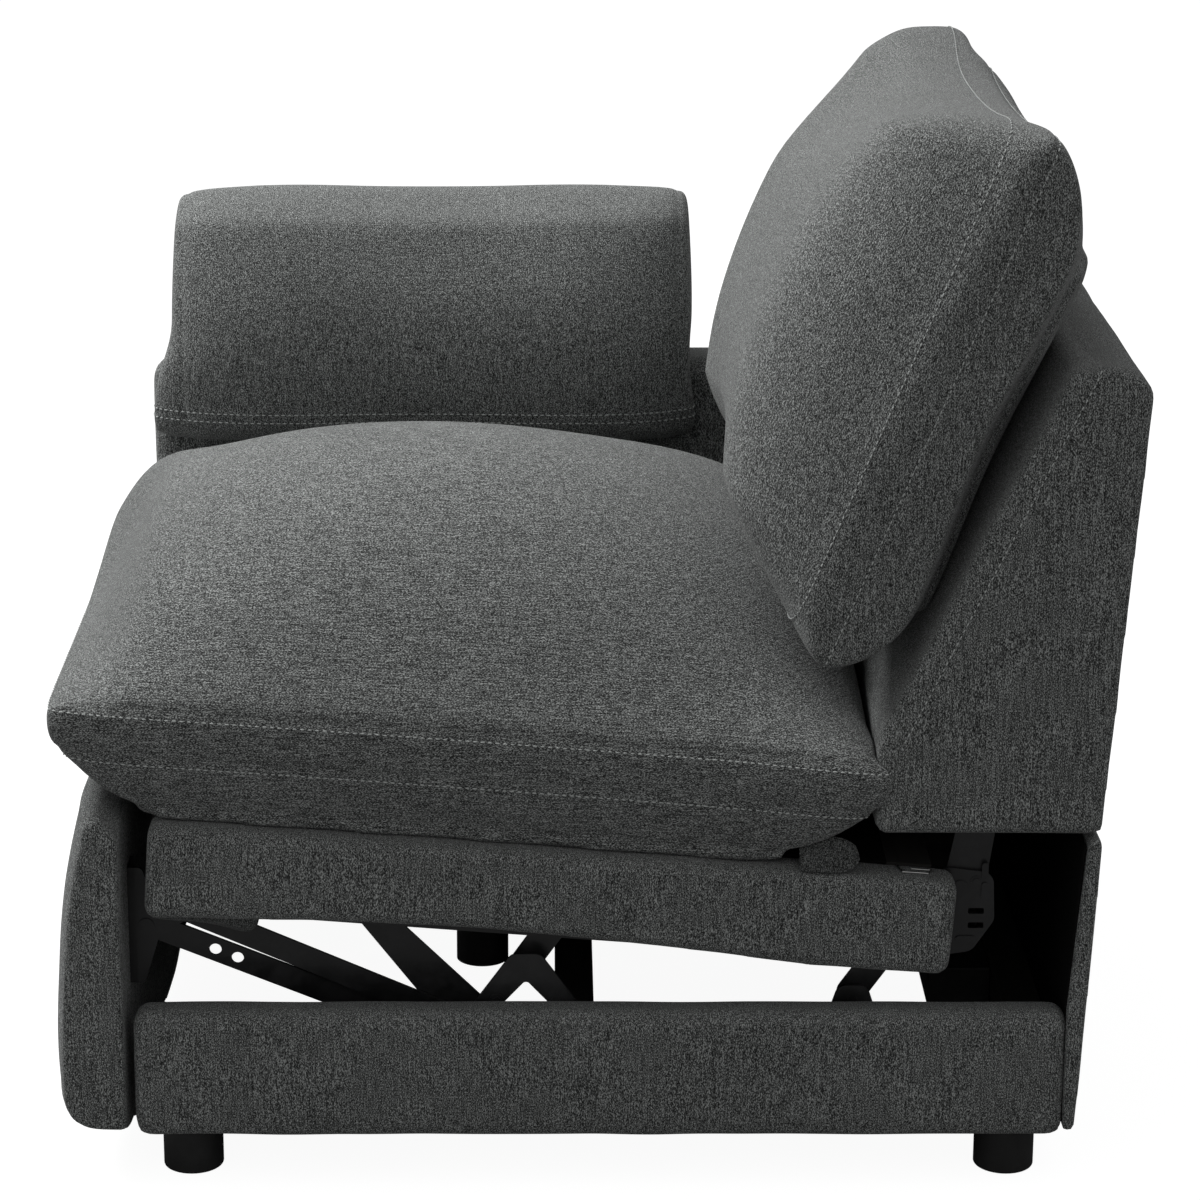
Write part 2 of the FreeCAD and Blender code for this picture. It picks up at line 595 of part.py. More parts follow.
def power_inlet():
    parts = []
    for word, radius, length in (("shell", "inlet_radius", "inlet_length"),
                                 ("socket", "inlet_radius / 2", "inlet_length * 0.8")):
        cylinder = document.addObject("Part::Cylinder", "inlet_" + word)
        bind(cylinder, "Radius", radius)
        bind(cylinder, "Height", length)
        bind(cylinder, "Placement.Base.x", "mid_x + control_box_length / 4")
        bind(cylinder, "Placement.Base.y", f"{REAR_STRETCHER_Y} - control_box_depth / 2")
        bind(cylinder, "Placement.Base.z", f"{BOX_LOW_Z} - inlet_length")
        parts.append(cylinder)
    hollow = document.addObject("Part::Cut", "inlet")
    hollow.Base, hollow.Tool = parts
    return keep(hollow, "power_inlet")


power_inlet()

# Arm, with a pocket for the switches behind the control panel


def arm_frame():
    solid = board("arm_box", ("arm_out_x", "arm_x"), ("arm_front_y", "arm_rear_y"),
                  ("foot_height", "arm_top_z"),
                  "arm_round")
    pocket = document.addObject("Part::Box", "switch_pocket")
    bind(pocket, "Length", "control_depth")
    bind(pocket, "Width", "control_length - control_height / 4")
    bind(pocket, "Height", "control_height * 0.75")
    bind(pocket, "Placement.Base.x", "arm_out_x")
    bind(pocket, "Placement.Base.y", "control_y - ( control_length - control_height / 4 ) / 2")
    bind(pocket, "Placement.Base.z", "control_z - control_height * 0.375")
    cut = document.addObject("Part::Cut", "arm_with_pocket")
    cut.Base, cut.Tool = solid, pocket
    return keep(cut, "arm_frame")


arm_frame()


def control_panel():
    """Rounded bezel with two openings for the buttons."""
    body = document.addObject("PartDesign::Body", "bezel")
    half_length = value("control_length") / 2
    half_height = value("control_height") / 2
    centre = point("control_y", "control_z")
    corner = half_height * 0.4

    def frame(middle, length, height, radius):
        return rounded([(middle + Vector(across * length, up * height, 0), radius)
                        for across, up in ((-1, -1), (1, -1), (1, 1), (-1, 1))])

    outlines = [frame(centre, half_length, half_height, corner)]
    for way in (-1, 1):
        middle = centre + Vector(way * value("button_spread"), 0, 0)
        outlines.append(frame(middle, value("button_length / 2 + button_gap"),
                              value("button_height / 2 + button_gap"), value("button_height / 6")))
    sketch = sketch_on(body, "YZ_Plane", outlines)
    pad_on(body, sketch, "control_thick")
    bind(body, "Placement.Base.x", "arm_out_x - control_thick")
    return keep(body, "control_panel")


control_panel()


def button(label, way):
    """Push button: a rounded cap on a stem that runs back into the pocket."""
    body = document.addObject("PartDesign::Body", label + "_cap")
    centre = point(f"control_y + {way} * button_spread", "control_z")
    half = Vector(value("button_length / 2"), value("button_height / 2"), 0)
    outline = rounded([(centre + Vector(across * half.x, up * half.y, 0), value("button_height / 6"))
                       for across, up in ((-1, -1), (1, -1), (1, 1), (-1, 1))])
    sketch = sketch_on(body, "YZ_Plane", (outline,))
    pad = pad_on(body, sketch, "button_proud + control_thick + control_depth / 2")
    bind(body, "Placement.Base.x", "arm_out_x - control_thick - button_proud")
    round_edges(body, pad, "button_proud / 2", lambda edge: edge.BoundBox.XMax < 0.1)
    return keep(body, label)


button("button_open", -1)
button("button_close", 1)

# Swing links: two equal pairs that carry the seat on the base brackets

def swing_link(end):
    def make(name, side):
        foot_pivot = point(f"swing_foot_{end}_y", f"swing_foot_{end}_z")
        top = foot_pivot + Vector(value("swing_run"), value("swing_rise"), 0)
        outline = obround(foot_pivot, top, value("swing_width / 2"))
        return plate(name, (outline,), ((foot_pivot, PIN_HOLE), (top, PIN_HOLE)), SWING_LAYER, side)
    return make


pair("swing_links_front", swing_link("front"))
pair("swing_links_rear", swing_link("rear"))

# Seat frame, tilted to the rear
RAIL_X = {
    1: (f"mid_x + ( {RAIL_LAYER} )", f"mid_x + ( {RAIL_LAYER} ) + seat_rail_thick"),
    -1: (f"mid_x - ( {RAIL_LAYER} ) - seat_rail_thick", f"mid_x - ( {RAIL_LAYER} )"),
}
BETWEEN_X = (f"mid_x - ( {RAIL_LAYER} )", f"mid_x + ( {RAIL_LAYER} )")
for word, side in SIDES:
    keep(seat_board(f"seat_side_{word}", RAIL_X[side], ("0", "seat_rail_length"), ("0", "seat_rail_height"),
                    "seat_rail_round"), f"seat_rail_{word}")
keep(seat_board("seat_front", BETWEEN_X, ("0", "front_rail_thick"),
                ("seat_rail_height - front_rail_height", "seat_rail_height")), "seat_front_rail")
REAR_RAIL_ALONG = "seat_rail_length - rear_rail_setback - rear_rail_thick"
keep(seat_board("seat_rear", BETWEEN_X, (REAR_RAIL_ALONG, "seat_rail_length - rear_rail_setback"),
                ("seat_rail_height - rear_rail_height", "seat_rail_height")), "seat_rear_rail")
DECK_ALONG = ("front_rail_thick", REAR_RAIL_ALONG)
keep(seat_board("deck", BETWEEN_X, DECK_ALONG, ("seat_rail_height - deck_thick", "seat_rail_height")),
     "seat_deck")


def seat_springs():
    """Flat serpentine wires from the front rail to the rear rail, just under the deck."""
    wire = value("spring_wire")
    swing = value("spring_swing")
    pitch = value("spring_pitch")
    start = value("front_rail_thick")
    end = value(REAR_RAIL_ALONG)
    up = value("seat_rail_height - deck_thick - spring_wire / 2 - soft_gap / 2")
    bends = int((end - start) / pitch)
    short = value("soft_gap / 2")
    start, end = start + short, end - short
    step = (end - start) / bends
    middle = value("mid_x")
    solids = []
    margin = value("spring_margin")
    spacing = (value(RAIL_LAYER) - margin) / 2
    for index in range(5):
        centre = middle + (index - 2) * spacing
        line = [Vector(centre, start, 0)]
        for bend in range(bends):
            way = 1 if bend % 2 else -1
            line.append(Vector(centre + way * swing, start + (bend + 0.25) * step, 0))
            line.append(Vector(centre + way * swing, start + (bend + 0.75) * step, 0))
        line.append(Vector(centre, end, 0))
        path = Part.makePolygon(line)
        square = Part.makePolygon([Vector(centre + across * wire / 2, start, high * wire / 2)
                                   for across, high in ((-1, -1), (1, -1), (1, 1), (-1, 1), (-1, -1))])
        shell = Part.BRepOffsetAPI.MakePipeShell(path)
        shell.setTransitionMode(1)
        shell.add(square)
        shell.build()
        shell.makeSolid()
        spring = shell.shape()
        spring.translate(Vector(0, 0, up))
        solids.append(spring)
    springs = Part.makeCompound(solids)
    place = tilted(0, 0)
    springs.Placement = Placement(Vector(0, place.x, place.y), Rotation(Vector(1, 0, 0), -value("seat_tilt")))
    return feature("seat_springs", springs)


seat_springs()


def closed_wire(edges):
    return Part.Wire([edge.toShape() for edge in edges])


def seat_cushion():
    """Crowned cushion: flat underside, bowed boxing, sides drawn in between the corners, high middle."""
    length = value("cushion_length")
    half = value("( seat_width - side_gap * 2 ) / 2 + cushion_side_proud")
    edge = value("cushion_edge")
    crown = value("cushion_crown")
    draw = value("cushion_draw")
    inset = edge * 0.18
    wires = []
    for station in (0.0, 0.012, 0.04, 0.09, 0.18, 0.32, 0.5, 0.68, 0.82, 0.91, 0.96, 0.988, 1.0):
        bow = math.sin(math.pi * station)
        fullness = bow ** 0.34 if station < 0.5 else bow ** 0.4
        rise = crown * (0.05 + 0.95 * fullness)
        end_pinch = 1 - min(1, min(station, 1 - station) / 0.2)
        low = edge * 0.6 * end_pinch ** 3.6
        seam = edge * (1 - 0.06 * end_pinch ** 3)
        side = half - draw * bow ** 0.5 - draw * 0.7 * end_pinch ** 4
        lip = side - draw / 3
        waist = low + (seam - low) * 0.55
        wires.append(closed_wire([
            Part.LineSegment(Vector(inset - side, 0, low), Vector(side - inset, 0, low)),
            Part.Arc(Vector(side - inset, 0, low), Vector(side, 0, waist), Vector(lip, 0, seam)),
            Part.Arc(Vector(lip, 0, seam), Vector(0, 0, seam + rise), Vector(-lip, 0, seam)),
            Part.Arc(Vector(-lip, 0, seam), Vector(-side, 0, waist), Vector(inset - side, 0, low)),
        ]))
        wires[-1].translate(Vector(0, station * length, 0))
    cushion = Part.makeLoft(wires, True, False)
    cushion.translate(Vector(0, 0, -cushion.optimalBoundingBox().ZMin))
    place = tilted(-value("cushion_overhang"), value("seat_rail_height + soft_gap"))
    cushion.Placement = Placement(Vector(value("mid_x + side_gap"), place.x, place.y),
                                  Rotation(Vector(1, 0, 0), -value("seat_tilt"))) * cushion.Placement
    return feature("seat_cushion", cushion)


seat_cushion()

# Side plates of the mechanism, bolted inside the seat rails
HINGE_RADIUS = "swing_width * 0.75"


def side_plate(name, side):
    rear_link = point("rear_link_y", "rear_link_z")
    hinge = point("hinge_y", "hinge_z")
    front_top = point("swing_top_front_y", "swing_top_front_z")
    rear_top = point("swing_top_rear_y", "swing_top_rear_z")
    length = value("seat_rail_length")
    front_along = value("front_tube_y - seat_front_y - link_width")
    low = -value("side_plate_drop")
    high = value("seat_rail_height - rear_rail_height - side_plate_clear")
    reach = value(HINGE_RADIUS)
    soft = reach * 0.6
    outline = rounded([
        (tilted(front_along, low), soft), (tilted(length - 2 * reach, low), soft),
        (hinge + Vector(0.6 * reach, -3.1 * reach, 0), soft),
        (hinge + Vector(1.6 * reach, -1.6 * reach, 0), soft),
        (hinge + Vector(1.5 * reach, 0.7 * reach, 0), soft), (hinge + Vector(-0.9 * reach, reach, 0), soft),
        (tilted(length - 0.8 * reach, high), soft / 2), (tilted(front_along, high), soft),
    ])
    slots = []
    for drop in (1.15, 1.85):
        centre = hinge + Vector(reach * 0.75, -drop * reach, 0)
        half = Vector(reach * 0.36, reach * 0.14, 0)
        slots.append(rounded([(centre + Vector(across * half.x, up * half.y, 0), reach * 0.07)
                              for across, up in ((-1, -1), (1, -1), (1, 1), (-1, 1))]))
    holes = [(place, PIN_HOLE) for place in (rear_link, front_top, rear_top, hinge)]
    flat = plate(name + "_flat", [outline] + slots, holes, RAIL_LAYER, side)
    ribs = document.addObject("PartDesign::Body", name + "_ribs")
    rib = reach * 0.15
    rib_start = hinge + Vector(reach * 1.1, -reach * 0.4, 0)
    lines = []
    for shift in (0.0, 0.95):
        low_end = rib_start + Vector(0, shift * reach, 0)
        lines.append(obround(low_end, low_end + Vector(0, reach * 0.5, 0), rib))
    low_rib = hinge + Vector(0, -2.5 * reach, 0)
    lines.append(obround(low_rib, low_rib + Vector(reach * 0.6, 0, 0), rib))
    sketch = sketch_on(ribs, "YZ_Plane", lines)
    pad_on(ribs, sketch, "plate_thick / 2")
    outward = "plate_thick" if side > 0 else "0 - plate_thick / 2"
    bind(ribs, "Placement.Base.x", f"{layer_x(RAIL_LAYER, 'plate_thick', side)} + {outward}")
    whole = document.addObject("Part::Fuse", name)
    whole.Base, whole.Tool = flat, ribs
    return whole


pair("mechanism_side_plates", side_plate)
pins("seat_pivot_pins", [
    ("rear_link_y", "rear_link_z", RAIL_LAYER, f"{REAR_LINK_LAYER} - plate_thick - soft_gap / 2", FLUSH),
    ("swing_top_front_y", "swing_top_front_z", RAIL_LAYER, SWING_INNER, FLUSH),
    ("swing_top_rear_y", "swing_top_rear_z", RAIL_LAYER, SWING_INNER, FLUSH),
    ("hinge_y", "hinge_z", RAIL_LAYER, SWING_INNER, RIVETED),
])
group("seat_cross_tubes", [
    tube(f"{end}_tube", f"{end}_tube_y", f"{end}_tube_z", "tube_radius", f"{RAIL_LAYER} - plate_thick")
    for end in ("front", "middle", "rear")
])

# Footrest links

def rear_link(name, side):
    """Rear link with an ear for the guide link beside its elbow."""
    root = point("rear_link_y", "rear_link_z")
    elbow = point("elbow_y", "elbow_z")
    heel = point("guide_heel_y", "guide_heel_z")
    radius = value("link_width") / 2
    along = (elbow - root).normalize()
    across = Vector(-along.y, along.x, 0)
    outline = rounded([
        (root - along * radius - across * radius, radius * 0.9),
        (elbow + along * radius - across * radius, radius * 0.9),
        (heel + (heel - elbow).normalize() * radius + along * radius, radius * 0.9),
        (heel + (heel - elbow).normalize() * radius - along * radius * 1.4, radius * 0.9),
        (root - along * radius + across * radius, radius * 0.9),
    ])
    holes = [(place, PIN_HOLE) for place in (root, elbow, heel)]
    return plate(name, (outline,), holes, REAR_LINK_LAYER, side)


def front_link(name, side):
    """Front link: bare bar with two lightening holes near its toe."""
    elbow = point("elbow_y", "elbow_z")
    toe = point("toe_y", "toe_z")
    outline = obround(elbow, toe, value("link_width / 2"))
    holes = [(elbow, PIN_HOLE), (toe, PIN_HOLE)]
    for share in (0.80, 0.735):
        holes.append((elbow + (toe - elbow) * share, "link_width / 4"))
    return plate(name, (outline,), holes, FRONT_LINK_LAYER, side)


def guide_link(name, side):
    """Guide link: its toe is the open pivot, with a wider hole."""
    heel = point("guide_heel_y", "guide_heel_z")
    toe = point("guide_toe_y", "guide_toe_z")
    outline = obround(heel, toe, value("link_width / 2"))
    holes = ((heel, PIN_HOLE), (toe, "pin_radius + open_clearance"))
    return plate(name, (outline,), holes, GUIDE_LAYER, side)


pair("footrest_rear_links", rear_link)
pair("footrest_front_links", front_link)
pair("footrest_guide_links", guide_link)
TO_FRONT_LINK = f"{FRONT_LINK_LAYER} - plate_thick - soft_gap / 2"
TO_GUIDE_LINK = f"{GUIDE_LAYER} + soft_gap / 2"
REAR_LINK_INNER = f"{REAR_LINK_LAYER} - plate_thick"
pins("rear_link_pins", [
    ("elbow_y", "elbow_z", REAR_LINK_LAYER, TO_FRONT_LINK, RIVETED),
    ("guide_heel_y", "guide_heel_z", TO_GUIDE_LINK, REAR_LINK_INNER, RIVETED),
])


def torque_tube():
    """Tube between the rear links with two slotted cranks that straddle the actuator track."""
    pipe = tube("torque_pipe", "rear_link_y", "rear_link_z", "torque_radius", REAR_LINK_INNER)
    root = point("rear_link_y", "rear_link_z")
    angle = math.radians(value("crank_angle"))
    reach = value("crank_reach")
    direction = Vector(math.cos(angle), -math.sin(angle), 0)
    half_slot = value("crank_slot") / 2
    near_end = reach * math.sin(angle) + half_slot * 0.38
    cranks = []
    for index, way in enumerate((-1, 1)):
        body = document.addObject("PartDesign::Body", f"crank_{index + 1}")
        outline = obround(root, root + direction * reach, half_slot * 1.76)
        slot = obround(root + direction * near_end, root + direction * reach, half_slot)
        sketch = sketch_on(body, "YZ_Plane", (outline, slot), ((root, "torque_radius - tube_wall / 2"),))
        pad_on(body, sketch, "crank_thick")
        start = "crank_spread" if way > 0 else "0 - crank_spread - crank_thick"
        bind(body, "Placement.Base.x", f"mid_x + {start}")
        cranks.append(body)
    whole = document.addObject("Part::MultiFuse", "torque_tube_whole")
    whole.Shapes = [pipe] + cranks
    return keep(whole, "torque_tube")


torque_tube()

# Footrest: brackets, board and padded front

def footrest_bracket(name, side):
    """Angle bracket: a plate with two pivot ears and a flange on the back of the footrest board."""
    toe = point("toe_y", "toe_z")
    guide = point("guide_toe_y", "guide_toe_z")
    back = value("footrest_back_y")
    radius = value("link_width") / 2
    small, medium, large = radius * 0.1, radius * 0.5, radius * 0.8
    flat = document.addObject("PartDesign::Body", name + "_flat")
    outline = rounded([
        (Vector(back, toe.y - 5 * radius, 0), small),
        (Vector(back + 1.2 * radius, toe.y - 5 * radius, 0), medium),
        (Vector(toe.x + radius, toe.y - radius, 0), medium),
        (Vector(guide.x + radius, guide.y - radius, 0), large),
        (Vector(guide.x + radius, guide.y + radius, 0), large),
        (Vector(toe.x + 0.4 * radius, guide.y + radius, 0), medium),
        (Vector(back + 1.2 * radius, toe.y + 5 * radius, 0), medium),
        (Vector(back, toe.y + 5 * radius, 0), small),
    ])
    sketch = sketch_on(flat, "YZ_Plane", (outline,), ((toe, PIN_HOLE), (guide, PIN_HOLE)))
    pad_on(flat, sketch, "plate_thick")
    bind(flat, "Placement.Base.x", layer_x(REAR_LINK_LAYER, "plate_thick", side))
    flange = document.addObject("Part::Box", name + "_flange")
    bind(flange, "Length", "link_width * 1.4")
    bind(flange, "Width", "plate_thick")
    bind(flange, "Height", "link_width * 5")
    if side > 0:
        bind(flange, "Placement.Base.x", f"mid_x + {REAR_LINK_LAYER} - link_width * 1.4")
    else:
        bind(flange, "Placement.Base.x", f"mid_x - ( {REAR_LINK_LAYER} )")
    bind(flange, "Placement.Base.y", "footrest_back_y")
    bind(flange, "Placement.Base.z", "toe_z - link_width * 2.5")
    whole = document.addObject("Part::Fuse", name)
    whole.Base, whole.Tool = flat, flange
    return whole


pair("footrest_brackets", footrest_bracket)
pins("footrest_bracket_pins", [
    ("toe_y", "toe_z", REAR_LINK_LAYER, TO_FRONT_LINK, RIVETED),
    ("guide_toe_y", "guide_toe_z", TO_GUIDE_LINK, REAR_LINK_INNER, RIVETED),
])
FOOTREST_X = ("arm_x + side_gap", "near_x - soft_gap")
BOARD_X = (f"{FOOTREST_X[0]} + footrest_board_inset", f"{FOOTREST_X[1]} - footrest_board_inset")
BOARD_Y = ("footrest_back_y - footrest_board_thick", "footrest_back_y")
BOARD_Z = ("foot_height + footrest_board_inset",
           "footrest_top_z - footrest_board_inset - footrest_top_thick / 2")


def footrest_pad():
    """Padded front: bowed face, full lower corner, thinner top, rounded ends, board let into its back."""
    back = value("footrest_back_y")
    front = value("front_y")
    low = value("foot_height")
    top = value("footrest_top_z")
    thick = value("footrest_thick")
    top_front = back - value("footrest_top_thick")
    left, right = value(FOOTREST_X[0]), value(FOOTREST_X[1])
    height = top - low
    slope = (back - top_front) * 0.65
    wires = []
    for station in (0.0, 0.02, 0.08, 0.25, 0.5, 0.75, 0.92, 0.98, 1.0):
        x = left + station * (right - left)
        shrink = thick * 0.16 * (1 - min(1, min(station, 1 - station) / 0.08)) ** 2
        foot = Vector(x, back, low + shrink)
        lower = Vector(x, back - thick * 0.5 + shrink / 2, low + shrink)
        knee = Vector(x, front + thick * 0.03 + shrink, low + thick * 0.66)
        belly = Vector(x, front + shrink, low + height * 0.38)
        shoulder = Vector(x, top_front - thick * 0.03 + shrink, top - thick * 0.28)
        crest = Vector(x, top_front + thick * 0.24, top - shrink)
        heel = Vector(x, back, top - slope - shrink)
        chin = Vector(x, front + thick * 0.17 + shrink, low + thick * 0.18 + shrink / 2)
        brow = Vector(x, top_front + thick * 0.05 + shrink, top - thick * 0.07 - shrink)
        wires.append(closed_wire([
            Part.LineSegment(foot, lower), Part.Arc(lower, chin, knee), Part.Arc(knee, belly, shoulder),
            Part.Arc(shoulder, brow, crest), Part.LineSegment(crest, heel), Part.LineSegment(heel, foot),
        ]))
    padding = document.addObject("Part::Feature", "footrest_padding")
    padding.Shape = Part.makeLoft(wires, True, False)
    recess = document.addObject("Part::Box", "board_recess")
    spans = ((f"{BOARD_X[0]} - soft_gap / 2", f"{BOARD_X[1]} + soft_gap / 2"),
             (f"{BOARD_Y[0]} - soft_gap / 2", f"{BOARD_Y[1]} + soft_gap / 2"),
             (f"{BOARD_Z[0]} - soft_gap / 2", f"{BOARD_Z[1]} + soft_gap / 2"))
    for axis, side, (start, end) in zip("xyz", ("Length", "Width", "Height"), spans):
        bind(recess, side, f"( {end} ) - ( {start} )")
        bind(recess, f"Placement.Base.{axis}", start)
    cut = document.addObject("Part::Cut", "footrest_soft")
    cut.Base, cut.Tool = padding, recess
    return keep(cut, "footrest_pad")


footrest_pad()
keep(board("footrest_ply", BOARD_X, BOARD_Y, BOARD_Z), "footrest_board")

# Actuator: gearbox, motor and track hung from the cross tubes, and the slider that turns the cranks
PIN_Z = "rear_link_z - crank_reach * sin(crank_angle * 1 deg)"
SLIDER_PIN_Y = "rear_link_y + crank_reach * cos(crank_angle * 1 deg)"
TRACK_TOP_Z = f"{PIN_Z} - slider_height / 2 - slider_gap"
TRACK_LOW_Z = f"{TRACK_TOP_Z} - track_height"
GEARBOX_REAR_Y = "gearbox_front_y + gearbox_length"
GEARBOX_TOP_Z = f"{TRACK_TOP_Z} + track_height"


def actuator_track():
    """Channel with an open groove for the lead screw."""
    body = document.addObject("PartDesign::Body", "track_channel")
    half = value("track_width / 2")
    low, top = value(TRACK_LOW_Z), value(TRACK_TOP_Z)
    middle = value("mid_x")
    groove, wall = half * 0.55, half * 0.14
    corners = [(-half, low), (half, low), (half, top), (groove, top),
               (groove, low + wall), (-groove, low + wall),
               (-groove, top), (-half, top)]
    outline = rounded([(Vector(middle + x, z, 0), 0) for x, z in corners])
    sketch = sketch_on(body, "XZ_Plane", (outline,))
    pad_on(body, sketch, "gearbox_front_y - track_front_y")
    bind(body, "Placement.Base.y", "gearbox_front_y")
    return keep(body, "actuator_track")


actuator_track()


def actuator_screw():
    screw = document.addObject("Part::Cylinder", "lead_screw")
    bind(screw, "Radius", "slider_pin_radius")
    bind(screw, "Height", "gearbox_front_y - track_front_y")
    screw.Placement = Placement(Vector(), Rotation(Vector(1, 0, 0), -90))
    bind(screw, "Placement.Base.x", "mid_x")
    bind(screw, "Placement.Base.y", "track_front_y")
    bind(screw, "Placement.Base.z", f"{TRACK_LOW_Z} + track_height / 2 + slider_gap")
    return keep(screw, "actuator_screw")


actuator_screw()


def actuator_motor():
    """Gearbox with a round motor can below it."""
    box = board("gearbox", ("mid_x - gearbox_width / 2", "mid_x + gearbox_width / 2"),
                ("gearbox_front_y", GEARBOX_REAR_Y), (f"{TRACK_LOW_Z} - slider_gap", GEARBOX_TOP_Z),
                "foot_edge * 2")
    can = document.addObject("Part::Cylinder", "motor_can")
    bind(can, "Radius", "motor_radius")
    bind(can, "Height", "motor_length + foot_edge * 3")
    bind(can, "Placement.Base.x", "mid_x")
    bind(can, "Placement.Base.y", "gearbox_front_y + gearbox_length / 2")
    bind(can, "Placement.Base.z", f"{TRACK_LOW_Z} - slider_gap - motor_length")
    whole = document.addObject("Part::Fuse", "gearbox_and_motor")
    whole.Base, whole.Tool = box, can
    return keep(whole, "actuator_motor")


actuator_motor()


def hanger(name, end, low_z):
    """Plate round a cross tube that reaches down to the actuator."""
    body = document.addObject("PartDesign::Body", name)
    centre = point(f"{end}_tube_y", f"{end}_tube_z")
    radius = value("tube_radius") * 1.55
    foot_z = value(low_z)
    small, large = radius * 0.2, radius * 0.8
    outline = rounded([
        (Vector(centre.x - radius * 1.1, foot_z, 0), small),
        (Vector(centre.x + radius * 1.1, foot_z, 0), small),
        (Vector(centre.x + radius, centre.y, 0), small),
        (Vector(centre.x + radius, centre.y + radius, 0), large),
        (Vector(centre.x - radius, centre.y + radius, 0), large),
        (Vector(centre.x - radius, centre.y, 0), small),
    ])
    sketch = sketch_on(body, "YZ_Plane", (outline,), ((centre, "tube_radius + pin_clearance"),))
    pad_on(body, sketch, "hanger_thick")
    return body


def hangers():
    members = []
    for index, way in enumerate((-1, 1), start=1):
        start = "track_width / 2" if way > 0 else "0 - track_width / 2 - hanger_thick"
        front = hanger(f"front_hanger_{index}", "front", TRACK_LOW_Z)
        bind(front, "Placement.Base.x", f"mid_x + {start}")
        start = "gearbox_width / 2" if way > 0 else "0 - gearbox_width / 2 - hanger_thick"
        rear = hanger(f"rear_hanger_{index}", "middle", TRACK_TOP_Z)
        bind(rear, "Placement.Base.x", f"mid_x + {start}")
        members += [front, rear]
    return group("actuator_hangers", members)


hangers()


def actuator_slider():
    """Block on the track with a cross pin through both crank slots and a nut round the screw."""
    block = board("slider_block", ("mid_x - slider_width / 2", "mid_x + slider_width / 2"),
                  (f"{SLIDER_PIN_Y} - slider_length / 2", f"{SLIDER_PIN_Y} + slider_length / 2"),
                  (f"{TRACK_TOP_Z} + slider_gap", f"{TRACK_TOP_Z} + slider_gap + slider_height"), "foot_edge")
    cross = document.addObject("Part::Cylinder", "slider_pin")
    bind(cross, "Radius", "slider_pin_radius")
    bind(cross, "Height", "2 * ( crank_spread + crank_thick + pin_head * 2 )")
    cross.Placement = Placement(Vector(), Rotation(Vector(0, 1, 0), 90))
    bind(cross, "Placement.Base.x", "mid_x - crank_spread - crank_thick - pin_head * 2")
    bind(cross, "Placement.Base.y", SLIDER_PIN_Y)
    bind(cross, "Placement.Base.z", PIN_Z)
    whole = document.addObject("Part::Fuse", "slider_whole")
    whole.Base, whole.Tool = block, cross
    return keep(whole, "actuator_slider")


actuator_slider()

# Back: two wings with panels between them, posts, hinge brackets and the cushion

LEAN = "back_front_lean * 1 deg"
KNEE_TO_TOP = "( back_top_z - back_knee_z )"
FRONT_TOP_Y = f"back_front_y + {KNEE_TO_TOP} * tan( {LEAN} )"
BACK_X = ("arm_x + side_gap", "near_x - side_gap / 2")
WING_INNER_X = (f"{BACK_X[0]} + wing_thick", f"{BACK_X[1]} - wing_thick")


def wing_corners():
    foot_front = point("back_front_y", "back_bottom_z")
    knee = point("back_front_y", "back_knee_z")
    front_top = point(FRONT_TOP_Y, "back_top_z")
    slope = math.tan(math.radians(value("back_rear_lean")))
    rear_foot = point("back_rear_foot_y", "back_bottom_z")
    rear_top = rear_foot + Vector(value("back_height") * slope, value("back_height"), 0)
    return foot_front, knee, front_top, rear_top, rear_foot


def wing(name, x):
    foot_front, knee, front_top, rear_top, rear_foot = wing_corners()
    body = document.addObject("PartDesign::Body", name)
    corner = value("back_corner_round")
    outline = rounded([(foot_front, 0), (rear_foot, 0), (rear_top, corner), (front_top, corner * 0.6),
                       (knee, value("back_knee_round"))])
    sketch = sketch_on(body, "YZ_Plane", (outline,))
    pad = pad_on(body, sketch, "wing_thick")
    bind(body, "Placement.Base.x", x)
    outside = value("wing_thick") if "near" in name else 0.0
    low = value("back_bottom_z + wing_round / 2")

    def padded_edge(edge):
        box = edge.BoundBox
        return abs(box.XMin - outside) < 0.01 and abs(box.XMax - outside) < 0.01 and box.ZMax > low

    round_edges(body, pad, "wing_round", padded_edge)
    return keep(body, name.replace("wing", "back_wing"))


wing("wing_near", WING_INNER_X[1])
wing("wing_far", BACK_X[0])


def back_panel(label, corners):
    """Panel between the wings, drawn in side view."""
    body = document.addObject("PartDesign::Body", label + "_board")
    sketch = sketch_on(body, "YZ_Plane", (rounded([(corner, 0) for corner in corners]),))
    pad_on(body, sketch, f"( {WING_INNER_X[1]} ) - ( {WING_INNER_X[0]} )")
    bind(body, "Placement.Base.x", WING_INNER_X[0])
    return keep(body, label)


def back_panels():
    foot_front, knee, front_top, rear_top, rear_foot = wing_corners()
    thick = value("back_panel_thick")
    inward = Vector(thick, 0, 0)
    drop = Vector(0, 2 * thick, 0)
    share = 2 * thick / (rear_top.y - rear_foot.y)
    rear_low = rear_top + (rear_foot - rear_top) * share
    share = 2 * thick / (front_top.y - knee.y)
    front_low = front_top + (knee - front_top) * share
    crest = value("back_corner_round")
    back_panel("back_rear_panel", (rear_foot - inward, rear_foot, rear_low, rear_low - inward))
    back_panel("back_lower_panel", (foot_front, foot_front + inward, knee + inward, knee))
    back_panel("back_front_panel", (knee, knee + inward, front_low + inward, front_low))
    body = document.addObject("PartDesign::Body", "top_rail")
    outline = rounded([(front_low, 0), (rear_low, 0), (rear_top, crest), (front_top, crest * 0.6)])
    sketch = sketch_on(body, "YZ_Plane", (outline,))
    pad_on(body, sketch, f"( {WING_INNER_X[1]} ) - ( {WING_INNER_X[0]} )")
    bind(body, "Placement.Base.x", WING_INNER_X[0])
    keep(body, "back_top_rail")


back_panels()



